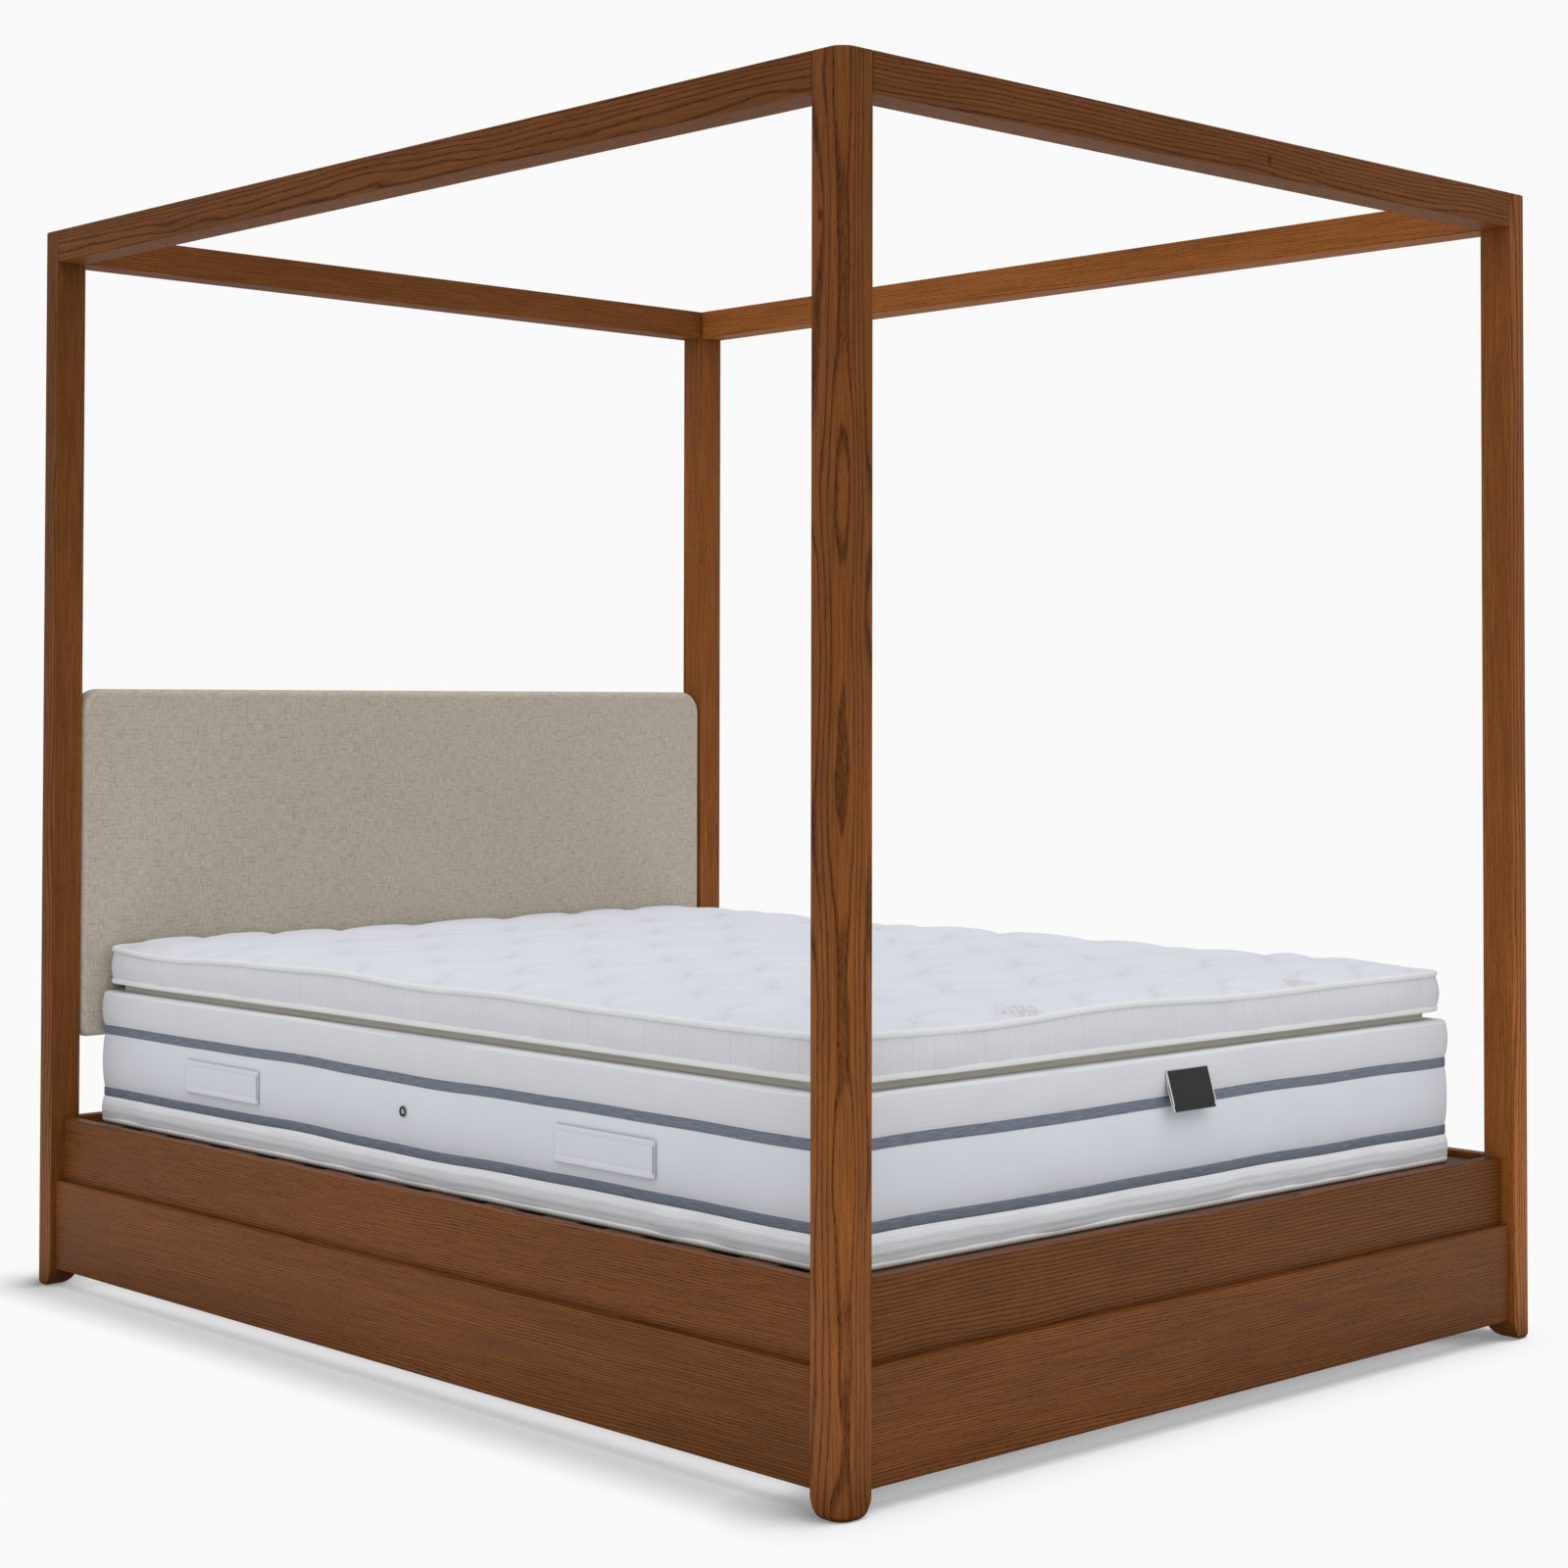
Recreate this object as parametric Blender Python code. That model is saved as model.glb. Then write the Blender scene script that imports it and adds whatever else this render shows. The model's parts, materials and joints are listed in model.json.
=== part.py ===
"""Four poster canopy bed: oak posts, top rails, stepped bed boards, slatted base, headboard, mattress.

Metres, +Z up. The origin is on the floor under the middle of the bed. The head of the bed is at +Y,
the foot at -Y, and the bed's left side, seen from its foot, is at -X.
"""

import math

import bmesh
import bpy
from mathutils import Matrix, Vector

# Overall size
WIDTH = 1.700
LENGTH = 2.160
HEIGHT = 1.990
GAP = 0.0003
CUTTER_MARGIN = 0.010
SHARP_ANGLE = 30
BEVEL_ANGLE = 40
ROUND_SIDES = 12
CORNER_STEPS = 12

# Posts and top rails
POST = 0.060
POST_ROUND = 0.026
POST_ROUND_STEPS = 16
FOOT_ROUND = (0.029, 0.038)
FOOT_ROUND_STEPS = 14
FOOT_EDGE = 0.009
FOOT_EDGE_STEPS = 6
EDGE = 0.002
TOP_RAIL_HEIGHT = 0.060

# Bed boards: a full-height board with a plinth board fixed on its face
BOARD_THICK = 0.025
BOARD_SETBACK = 0.026
BOARD_LOW = 0.050
BOARD_TOP = 0.3135
PLINTH_SETBACK = 0.010
PLINTH_LOW = 0.034
PLINTH_TOP = 0.198

# Hanger bolts between the boards and the posts
BOLT_RADIUS = 0.004
BOLT_CLEARANCE = 0.0003
BOLT_IN_POST = 0.032
BOLT_IN_BOARD = 0.046
NUT_RADIUS = 0.0075
NUT_LENGTH = 0.010
NUT_ROOM = 0.002
POCKET = (0.030, 0.021, 0.024)
SIDE_BOLT_HEIGHT = 0.232
END_BOLT_HEIGHT = 0.150

# Slatted base
MATTRESS_LOW = 0.302
SLAT = (0.080, 0.020)
SLAT_COUNT = 14
SLAT_SPAN = 1.930
SLAT_END_PLAY = 0.003
BEARER = (0.030, 0.040)
BEARER_END = 0.070
BEARER_EDGE = 0.001
PINE_EDGE = 0.0015
CENTRE_RAIL = (0.045, 0.070)
HANGER_THICK = 0.0025
HANGER_DEPTH = 0.030
HANGER_DROP = 0.012
LEG = 0.045
GLIDE_RADIUS = 0.022
GLIDE_HEIGHT = 0.012
GLIDE_SIDES = 16
GLIDE_EDGE = 0.0015

# Headboard, between the head posts
HEADBOARD_LOW = 0.462
HEADBOARD_TOP = 1.1225
HEADBOARD_ROUND = 0.048
HEADBOARD_FRONT = LENGTH / 2 - POST + GAP
PADDING_THICK = 0.036
CORE_THICK = 0.016
CORE_INSET = 0.0035
BRACKET_THICK = 0.002
BRACKET_LEG = 0.040
BRACKET_TALL = 0.060
BRACKET_HEIGHTS = (0.56, 1.00)

# Mattress
MATTRESS_WIDTH = 1.500
MATTRESS_LENGTH = 2.000
MATTRESS_PLAY = 0.001
MATTRESS_HEAD = LENGTH / 2 - POST - MATTRESS_PLAY
CORE_TOP = 0.549
CORE_ROUND = 0.022
NECK_ROUND = 0.012
TOPPER_ROUND = 0.030
MATTRESS_STEPS = 6
SOFT_EDGE = 0.012
NECK_INSET = 0.030
NECK_HEIGHT = 0.0135
TOPPER_INSET = 0.010
TOPPER_TOP = 0.655
HANDLE_LENGTH = 0.237
HANDLE_HEIGHT = 0.058
HANDLE_THICK = 0.003
HANDLE_PLACES = (-0.473, 0.588)
HANDLE_LEVEL = 0.418
VENT_PLACE = 0.040
VENT_LEVEL = 0.4235
VENT_RADIUS = 0.009
VENT_THICK = 0.003
LABEL = (0.106, 0.004, 0.060)
LABEL_PLACE = (0.010, 0.4965)

OAK = ("oak", (0.19, 0.075, 0.028), 0.42, 0.0)
PINE = ("pine", (0.62, 0.45, 0.26), 0.60, 0.0)
PLY = ("plywood", (0.50, 0.36, 0.21), 0.65, 0.0)
STEEL = ("zinc_steel", (0.55, 0.56, 0.57), 0.35, 1.0)
NYLON = ("nylon", (0.04, 0.04, 0.04), 0.50, 0.0)
LINEN = ("linen", (0.40, 0.36, 0.31), 0.90, 0.0)
TICKING = ("ticking", (0.72, 0.73, 0.76), 0.90, 0.0)
NECK_CLOTH = ("neck_cloth", (0.42, 0.39, 0.32), 0.90, 0.0)
WEBBING = ("webbing", (0.75, 0.76, 0.80), 0.80, 0.0)
EYELET = ("eyelet", (0.50, 0.49, 0.44), 0.30, 1.0)
LABEL_CLOTH = ("label_cloth", (0.03, 0.03, 0.035), 0.80, 0.0)


def clear_scene():
    for item in list(bpy.data.objects):
        bpy.data.objects.remove(item, do_unlink=True)


def material(finish):
    """The finish's Principled material, made the first time that it is asked for."""
    name, colour, roughness, metallic = finish
    found = bpy.data.materials.get(name)
    if found is not None:
        return found
    made = bpy.data.materials.new(name)
    made.use_nodes = True
    shader = made.node_tree.nodes["Principled BSDF"]
    shader.inputs["Base Color"].default_value = (*colour, 1.0)
    shader.inputs["Roughness"].default_value = roughness
    shader.inputs["Metallic"].default_value = metallic
    return made


def add_object(name, shape, finish):
    """A new object that holds the finished shape."""
    bmesh.ops.recalc_face_normals(shape, faces=shape.faces)
    mesh = bpy.data.meshes.new(name)
    shape.to_mesh(mesh)
    shape.free()
    mesh.materials.append(material(finish))
    mesh.shade_smooth()
    mesh.set_sharp_from_angle(angle=math.radians(SHARP_ANGLE))
    made = bpy.data.objects.new(name, mesh)
    bpy.context.scene.collection.objects.link(made)
    return made


def add_bevel(made, width, segments):
    """Eased edges, left live on the object."""
    bevel = made.modifiers.new("eased_edges", "BEVEL")
    bevel.width = width
    bevel.segments = segments
    bevel.limit_method = "ANGLE"
    bevel.angle_limit = math.radians(BEVEL_ANGLE)
    return made


def block_shape(low, high):
    """A box between two corners."""
    shape = bmesh.new()
    size = Vector(high) - Vector(low)
    middle = (Vector(high) + Vector(low)) / 2
    bmesh.ops.create_cube(shape, size=1.0, matrix=Matrix.Translation(middle) @ Matrix.Diagonal((*size, 1.0)))
    return shape


def block(name, low, high, finish, edge=0.0, segments=1):
    made = add_object(name, block_shape(low, high), finish)
    if edge > 0:
        add_bevel(made, edge, segments)
    return made


def prism_shape(outline, along, start, end):
    """An outline of 2-D points carried along one axis (0, 1 or 2); the points use the other two in order."""
    others = [axis for axis in (0, 1, 2) if axis != along]
    rings = []
    shape = bmesh.new()
    for place in (start, end):
        ring = []
        for first, second in outline:
            point = [0.0, 0.0, 0.0]
            point[along] = place
            point[others[0]] = first
            point[others[1]] = second
            ring.append(shape.verts.new(point))
        rings.append(ring)
    count = len(outline)
    shape.faces.new(rings[0])
    shape.faces.new(rings[1])
    for index in range(count):
        after = (index + 1) % count
        shape.faces.new((rings[0][index], rings[0][after], rings[1][after], rings[1][index]))
    return shape


def arc(centre, radius, start, end, steps):
    """Points on an arc between two angles in degrees, both ends included."""
    points = []
    for step in range(steps + 1):
        angle = math.radians(start + (end - start) * step / steps)
        points.append((centre[0] + radius * math.cos(angle), centre[1] + radius * math.sin(angle)))
    return points


def rounded_outline(half_width, half_height, radius, steps, centre=(0.0, 0.0), corners=(1, 1, 1, 1)):
    """A rectangle with round corners: ++, -+, -- and +-, each rounded where its flag is set."""
    signs = ((1, 1), (-1, 1), (-1, -1), (1, -1))
    points = []
    for index, (right, up) in enumerate(signs):
        inner = (centre[0] + right * (half_width - radius), centre[1] + up * (half_height - radius))
        if corners[index]:
            points += arc(inner, radius, 90 * index, 90 * index + 90, steps)
        else:
            points.append((centre[0] + right * half_width, centre[1] + up * half_height))
    return points


def cylinder_shape(radius, start, end, steps, along):
    """A round bar along an axis (0, 1 or 2) from the start point to that axis's end value."""
    others = [axis for axis in (0, 1, 2) if axis != along]
    centre = (start[others[0]], start[others[1]])
    outline = arc(centre, radius, 0, 360 - 360 / steps, steps - 1)
    return prism_shape(outline, along, start[along], end)


def cut(made, cutter_shape, label):
    """Take a shape away from an object, with the cutter kept as a wire guide."""
    cutter = add_object(made.name + "_" + label, cutter_shape, OAK)
    cutter.hide_render = True
    cutter.display_type = "WIRE"
    boolean = made.modifiers.new(label, "BOOLEAN")
    boolean.operation = "DIFFERENCE"
    boolean.object = cutter
    return made


def foot_cutter(outer, inner, across, along):
    """The waste that rounds a post's foot on one inner side, wide by high as FOOT_ROUND says.

    outer and inner are the post's two faces on the axis that the round turns in, across is the post's
    span on the other axis, and along is that other axis.
    """
    side = 1.0 if inner > outer else -1.0
    wide, high = FOOT_ROUND
    start = inner - side * wide
    outline = []
    for first, second in arc((0.0, 0.0), 1.0, -90, 0, FOOT_ROUND_STEPS):
        outline.append((start + side * wide * first, high + high * second))
    outline.append((inner + side * CUTTER_MARGIN, high))
    outline.append((inner + side * CUTTER_MARGIN, -CUTTER_MARGIN))
    outline.append((start, -CUTTER_MARGIN))
    return prism_shape(outline, along, min(across) - CUTTER_MARGIN, max(across) + CUTTER_MARGIN)


def foot_edge_cutter(right, head):
    """The waste that rounds a post's foot under its two outer faces and the arris between them.

    The waste's section stands square to the outside and is carried along it, round the arris.
    """
    outer = (right * WIDTH / 2, head * LENGTH / 2)
    ends = (outer[0] - right * (POST + CUTTER_MARGIN), outer[1] - head * (POST + CUTTER_MARGIN))
    centre = (outer[0] - right * POST_ROUND, outer[1] - head * POST_ROUND)
    stations = [((ends[0], outer[1]), (0.0, head))]
    for first, second in arc((0.0, 0.0), 1.0, 90, 0, POST_ROUND_STEPS):
        normal = (right * first, head * second)
        stations.append(((centre[0] + POST_ROUND * normal[0], centre[1] + POST_ROUND * normal[1]), normal))
    stations.append(((outer[0], ends[1]), (right, 0.0)))
    section = [(FOOT_EDGE + first, FOOT_EDGE + second)
               for first, second in arc((0.0, 0.0), FOOT_EDGE, -90, -180, FOOT_EDGE_STEPS)]
    section += [(-CUTTER_MARGIN, FOOT_EDGE), (-CUTTER_MARGIN, -CUTTER_MARGIN), (FOOT_EDGE, -CUTTER_MARGIN)]
    shape = bmesh.new()
    rings = []
    for place, normal in stations:
        rings.append([
            shape.verts.new((place[0] - inset * normal[0], place[1] - inset * normal[1], height))
            for inset, height in section
        ])
    shape.faces.new(rings[0])
    shape.faces.new(rings[-1])
    count = len(section)
    for ring, following in zip(rings, rings[1:]):
        for index in range(count):
            after = (index + 1) % count
            shape.faces.new((ring[index], ring[after], following[after], following[index]))
    return shape


def post(name, right, head):
    """A square post whose outer arris is rounded; right and head are the signs of its corner."""
    outer_x = right * WIDTH / 2
    outer_y = head * LENGTH / 2
    inner_x = outer_x - right * POST
    inner_y = outer_y - head * POST
    centre = (outer_x - right * POST_ROUND, outer_y - head * POST_ROUND)
    outline = [(inner_x, inner_y), (inner_x, outer_y)]
    for first, second in arc((0.0, 0.0), POST_ROUND, 90, 0, POST_ROUND_STEPS):
        outline.append((centre[0] + right * first, centre[1] + head * second))
    outline.append((outer_x, inner_y))
    made = add_object(name, prism_shape(outline, 2, 0.0, HEIGHT), OAK)
    add_bevel(made, EDGE, 2)
    cut(made, foot_cutter(outer_x, inner_x, (outer_y, inner_y), 1), "foot_round_x")
    cut(made, foot_cutter(outer_y, inner_y, (outer_x, inner_x), 0), "foot_round_y")
    cut(made, foot_edge_cutter(right, head), "foot_edge")
    middle = BOARD_SETBACK + BOARD_THICK / 2
    radius = BOLT_RADIUS + BOLT_CLEARANCE
    side_start = (outer_x - right * middle, inner_y + head * (BOLT_IN_POST + GAP), SIDE_BOLT_HEIGHT)
    mouth = inner_y - head * CUTTER_MARGIN
    cut(made, cylinder_shape(radius, side_start, mouth, ROUND_SIDES, 1), "side_bolt_hole")
    end_start = (inner_x + right * (BOLT_IN_POST + GAP), outer_y - head * middle, END_BOLT_HEIGHT)
    mouth = inner_x - right * CUTTER_MARGIN
    cut(made, cylinder_shape(radius, end_start, mouth, ROUND_SIDES, 0), "end_bolt_hole")
    return made


def span(side, first, second):
    """Low and high of a board's thickness, for depths measured inwards from the outside on one side."""
    ends = (side * first, side * second)
    return min(ends), max(ends)


def place_block(name, along, side, depths, ends, heights, finish, edge, segments):
    """A board along X or Y on one side of the bed, with its depths measured in from the outside."""
    half = LENGTH / 2 if along == 0 else WIDTH / 2
    low, high = span(side, half - depths[0], half - depths[1])
    if along == 0:
        corners = ((ends[0], low, heights[0]), (ends[1], high, heights[1]))
    else:
        corners = ((low, ends[0], heights[0]), (high, ends[1], heights[1]))
    return block(name, corners[0], corners[1], finish, edge, segments)


def inner_ends(along):
    """Where a board between two posts starts and ends."""
    half = (WIDTH if along == 0 else LENGTH) / 2 - POST - GAP
    return -half, half


def top_rails():
    heights = (HEIGHT - TOP_RAIL_HEIGHT, HEIGHT)
    for name, along, side in (
        ("left_top_rail", 1, -1),
        ("right_top_rail", 1, 1),
        ("foot_top_rail", 0, -1),
        ("head_top_rail", 0, 1),
    ):
        place_block(name, along, side, (0.0, POST), inner_ends(along), heights, OAK, EDGE, 2)


def bolt_pocket(along, side, end_sign, height):
    """The cutter for a nut pocket on a board's inner face, with the bolt's bore out to the board's end."""
    half = (WIDTH if along == 0 else LENGTH) / 2 - POST - GAP
    outside = (LENGTH if along == 0 else WIDTH) / 2
    middle = side * (outside - BOARD_SETBACK - BOARD_THICK / 2)
    inner = side * (outside - BOARD_SETBACK - BOARD_THICK - CUTTER_MARGIN)
    depth = side * (outside - BOARD_SETBACK - BOARD_THICK + POCKET[1])
    near = end_sign * (half - BOLT_IN_BOARD + NUT_LENGTH + NUT_ROOM)
    far = near - end_sign * POCKET[0]
    lows = (min(near, far), min(inner, depth), height - POCKET[2] / 2)
    highs = (max(near, far), max(inner, depth), height + POCKET[2] / 2)
    start = (near - end_sign * NUT_ROOM, middle, height)
    bore_end = end_sign * (half + CUTTER_MARGIN)
    if along == 1:
        lows = (lows[1], lows[0], lows[2])
        highs = (highs[1], highs[0], highs[2])
        start = (start[1], start[0], start[2])
    pocket = block_shape(lows, highs)
    bore = cylinder_shape(BOLT_RADIUS + BOLT_CLEARANCE, start, bore_end, ROUND_SIDES, along)
    return pocket, bore


def bed_boards():
    heights = (BOARD_LOW, BOARD_TOP)
    depths = (BOARD_SETBACK, BOARD_SETBACK + BOARD_THICK)
    for name, along, side, bolt_height in (
        ("left_side_board", 1, -1, SIDE_BOLT_HEIGHT),
        ("right_side_board", 1, 1, SIDE_BOLT_HEIGHT),
        ("foot_board", 0, -1, END_BOLT_HEIGHT),
        ("head_board_rail", 0, 1, END_BOLT_HEIGHT),
    ):
        made = place_block(name, along, side, depths, inner_ends(along), heights, OAK, EDGE, 2)
        for label, end_sign in (("low", -1), ("high", 1)):
            pocket, bore = bolt_pocket(along, side, end_sign, bolt_height)
            cut(made, pocket, label + "_pocket")
            cut(made, bore, label + "_bore")


def plinth_boards():
    heights = (PLINTH_LOW, PLINTH_TOP)
    depths = (PLINTH_SETBACK, BOARD_SETBACK - GAP)
    for name, along, side in (
        ("left_plinth_board", 1, -1),
        ("right_plinth_board", 1, 1),
        ("foot_plinth_board", 0, -1),
    ):
        place_block(name, along, side, depths, inner_ends(along), heights, OAK, EDGE, 2)


def hanger_bolt(name, along, start, direction):
    """A bolt screwed into a post, with its nut in the board's pocket, turned as one profile.

    start is the tip in the post and direction is the sign towards the nut.
    """
    shape = bmesh.new()
    full = BOLT_IN_POST + GAP + BOLT_IN_BOARD
    nut = full - NUT_LENGTH
    rod = ((0.0, 0.0), (BOLT_RADIUS, 0.0), (BOLT_RADIUS, nut))
    profile = (*rod, (NUT_RADIUS, nut), (NUT_RADIUS, full), (0.0, full))
    rings = []
    for radius, place in profile:
        ring = []
        for index in range(ROUND_SIDES if radius > 0 else 1):
            angle = 2 * math.pi * index / ROUND_SIDES
            across = (radius * math.cos(angle), radius * math.sin(angle))
            offset = direction * place
            if along == 0:
                point = (start[0] + offset, start[1] + across[0], start[2] + across[1])
            else:
                point = (start[0] + across[0], start[1] + offset, start[2] + across[1])
            ring.append(shape.verts.new(point))
        rings.append(ring)
    for lower, upper in zip(rings, rings[1:]):
        for index in range(ROUND_SIDES):
            after = (index + 1) % ROUND_SIDES
            corners = [lower[index % len(lower)], lower[after % len(lower)]]
            corners += [upper[after % len(upper)], upper[index % len(upper)]]
            shape.faces.new(list(dict.fromkeys(corners)))
    return add_object(name, shape, STEEL)


def hanger_bolts():
    middle = BOARD_SETBACK + BOARD_THICK / 2
    corners = (("foot_left", -1, -1), ("foot_right", 1, -1), ("head_left", -1, 1), ("head_right", 1, 1))
    for name, right, head in corners:
        inner_y = head * (LENGTH / 2 - POST)
        inner_x = right * (WIDTH / 2 - POST)
        side_start = (right * (WIDTH / 2 - middle), inner_y + head * BOLT_IN_POST, SIDE_BOLT_HEIGHT)
        hanger_bolt(name + "_side_bolt", 1, side_start, -head)
        end_start = (inner_x + right * BOLT_IN_POST, head * (LENGTH / 2 - middle), END_BOLT_HEIGHT)
        hanger_bolt(name + "_end_bolt", 0, end_start, -right)


def slat_bearers():
    top = MATTRESS_LOW - SLAT[1] - GAP * 2
    inside = BOARD_SETBACK + BOARD_THICK + GAP
    ends = (-LENGTH / 2 + BEARER_END, LENGTH / 2 - BEARER_END)
    heights = (top - BEARER[1], top)
    for name, side in (("left_slat_bearer", -1), ("right_slat_bearer", 1)):
        place_block(name, 1, side, (inside, inside + BEARER[0]), ends, heights, PINE, BEARER_EDGE, 1)


def slats():
    top = MATTRESS_LOW - GAP
    reach = WIDTH / 2 - BOARD_SETBACK - BOARD_THICK - SLAT_END_PLAY
    pitch = SLAT_SPAN / (SLAT_COUNT - 1)
    for index in range(SLAT_COUNT):
        middle = -SLAT_SPAN / 2 + pitch * index
        low = (-reach, middle - SLAT[0] / 2, top - SLAT[1])
        high = (reach, middle + SLAT[0] / 2, top)
        block("slat_%02d" % (index + 1), low, high, PINE, PINE_EDGE, 1)


def centre_rail():
    """The rail under the middle of the slats, and the steel hangers that carry its ends."""
    top = MATTRESS_LOW - SLAT[1] - GAP * 2
    half = LENGTH / 2 - BOARD_SETBACK - BOARD_THICK - HANGER_THICK - GAP * 2
    low = (-CENTRE_RAIL[0] / 2, -half, top - CENTRE_RAIL[1])
    high = (CENTRE_RAIL[0] / 2, half, top)
    block("centre_rail", low, high, PINE, PINE_EDGE, 1)
    for name, side in (("foot_rail_hanger", -1), ("head_rail_hanger", 1)):
        rail_hanger(name, side, low[2], top - HANGER_DROP)


def rail_hanger(name, side, floor, top):
    """A bent steel stirrup: a back plate on the board, a floor under the rail and a cheek on each side."""
    inner = CENTRE_RAIL[0] / 2 + GAP
    outer = inner + HANGER_THICK
    back = side * (LENGTH / 2 - BOARD_SETBACK - BOARD_THICK - GAP)
    front = back - side * HANGER_DEPTH
    bottom = floor - GAP - HANGER_THICK
    low = (-outer, min(back, front), bottom)
    high = (outer, max(back, front), top)
    made = add_object(name, block_shape(low, high), STEEL)
    inside = (back - side * HANGER_THICK, front - side * CUTTER_MARGIN)
    waste = block_shape((-inner, min(inside), floor - GAP), (inner, max(inside), top + CUTTER_MARGIN))
    return cut(made, waste, "channel")


def centre_leg():
    """The square leg under the middle of the centre rail, on a round nylon glide."""
    top = MATTRESS_LOW - SLAT[1] - GAP * 2 - CENTRE_RAIL[1] - GAP
    low = (-LEG / 2, -LEG / 2, GLIDE_HEIGHT + GAP)
    block("centre_leg", low, (LEG / 2, LEG / 2, top), PINE, PINE_EDGE, 1)
    shape = cylinder_shape(GLIDE_RADIUS, (0.0, 0.0, 0.0), GLIDE_HEIGHT, GLIDE_SIDES, 2)
    add_bevel(add_object("centre_leg_glide", shape, NYLON), GLIDE_EDGE, 1)


def headboard():
    """The plywood core, its padded linen front and the angle brackets that hold it to the posts."""
    half = WIDTH / 2 - POST - GAP * 2
    middle = (HEADBOARD_LOW + HEADBOARD_TOP) / 2
    tall = (HEADBOARD_TOP - HEADBOARD_LOW) / 2
    outline = rounded_outline(half, tall, HEADBOARD_ROUND, CORNER_STEPS, (0.0, middle), (1, 1, 0, 0))
    back = HEADBOARD_FRONT + PADDING_THICK
    add_object("headboard_padding", prism_shape(outline, 1, HEADBOARD_FRONT, back), LINEN)
    inset = CORE_INSET
    radius = HEADBOARD_ROUND - inset
    outline = rounded_outline(half - inset, tall - inset, radius, CORNER_STEPS, (0.0, middle), (1, 1, 0, 0))
    core_back = back + GAP + CORE_THICK
    add_object("headboard_core", prism_shape(outline, 1, back + GAP, core_back), PLY)
    for label, right in (("left", -1), ("right", 1)):
        for place, height in zip(("low", "high"), BRACKET_HEIGHTS):
            headboard_bracket("headboard_bracket_%s_%s" % (label, place), right, height, back, core_back)


def headboard_bracket(name, right, height, core_front, core_back):
    """A bent steel angle: one leg on the core's back, the other on the post's inner face."""
    post_face = WIDTH / 2 - POST - GAP
    rear = core_back + GAP + BRACKET_THICK
    outline = [
        (post_face - BRACKET_LEG, core_back + GAP),
        (post_face - BRACKET_THICK, core_back + GAP),
        (post_face - BRACKET_THICK, core_front + GAP * 2),
        (post_face, core_front + GAP * 2),
        (post_face, rear),
        (post_face - BRACKET_LEG, rear),
    ]
    outline = [(right * first, second) for first, second in outline]
    shape = prism_shape(outline, 2, height - BRACKET_TALL / 2, height + BRACKET_TALL / 2)
    return add_object(name, shape, STEEL)


def soft_slab(name, inset, radius, low, high, finish, edge):
    """A mattress layer between two heights: the mattress's outline moved in by the inset, its corners rounded."""
    centre = (0.0, MATTRESS_HEAD - MATTRESS_LENGTH / 2)
    half = (MATTRESS_WIDTH / 2 - inset, MATTRESS_LENGTH / 2 - inset)
    outline = rounded_outline(half[0], half[1], radius, MATTRESS_STEPS, centre)
    made = add_object(name, prism_shape(outline, 2, low, high), finish)
    if edge > 0:
        add_bevel(made, edge, 2)
    return made


def mattress():
    soft_slab("mattress_core", 0.0, CORE_ROUND, MATTRESS_LOW, CORE_TOP, TICKING, SOFT_EDGE)
    neck_low = CORE_TOP + GAP
    neck_top = neck_low + NECK_HEIGHT
    soft_slab("mattress_neck", NECK_INSET, NECK_ROUND, neck_low, neck_top, NECK_CLOTH, 0.0)
    topper_low = neck_top + GAP
    soft_slab("mattress_topper", TOPPER_INSET, TOPPER_ROUND, topper_low, TOPPER_TOP, TICKING, SOFT_EDGE)


def mattress_trim():
    """The turning handles, the air vents and the folded label on the mattress's sides."""
    for side_name, side in (("left", -1), ("right", 1)):
        face = side * (MATTRESS_WIDTH / 2 + GAP)
        outside = face + side * HANDLE_THICK
        for place_name, place in zip(("foot", "head"), HANDLE_PLACES):
            low = (min(face, outside), place - HANDLE_LENGTH / 2, HANDLE_LEVEL - HANDLE_HEIGHT / 2)
            high = (max(face, outside), place + HANDLE_LENGTH / 2, HANDLE_LEVEL + HANDLE_HEIGHT / 2)
            block("%s_%s_handle" % (side_name, place_name), low, high, WEBBING)
        start = (face, VENT_PLACE, VENT_LEVEL)
        shape = cylinder_shape(VENT_RADIUS, start, face + side * VENT_THICK, ROUND_SIDES, 0)
        add_object(side_name + "_air_vent", shape, EYELET)
    face = MATTRESS_HEAD - MATTRESS_LENGTH - GAP
    low = (LABEL_PLACE[0] - LABEL[0] / 2, face - LABEL[1], LABEL_PLACE[1] - LABEL[2] / 2)
    high = (LABEL_PLACE[0] + LABEL[0] / 2, face, LABEL_PLACE[1] + LABEL[2] / 2)
    block("mattress_label", low, high, LABEL_CLOTH)


def main():
    clear_scene()
    post("foot_left_post", -1, -1)
    post("foot_right_post", 1, -1)
    post("head_left_post", -1, 1)
    post("head_right_post", 1, 1)
    top_rails()
    bed_boards()
    plinth_boards()
    hanger_bolts()
    slat_bearers()
    slats()
    centre_rail()
    centre_leg()
    headboard()
    mattress()
    mattress_trim()


main()
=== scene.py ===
"""Canopy bed dressing: stained oak, linen headboard, pillow-top mattress and a pale studio."""

import json
import math
from types import SimpleNamespace

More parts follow.
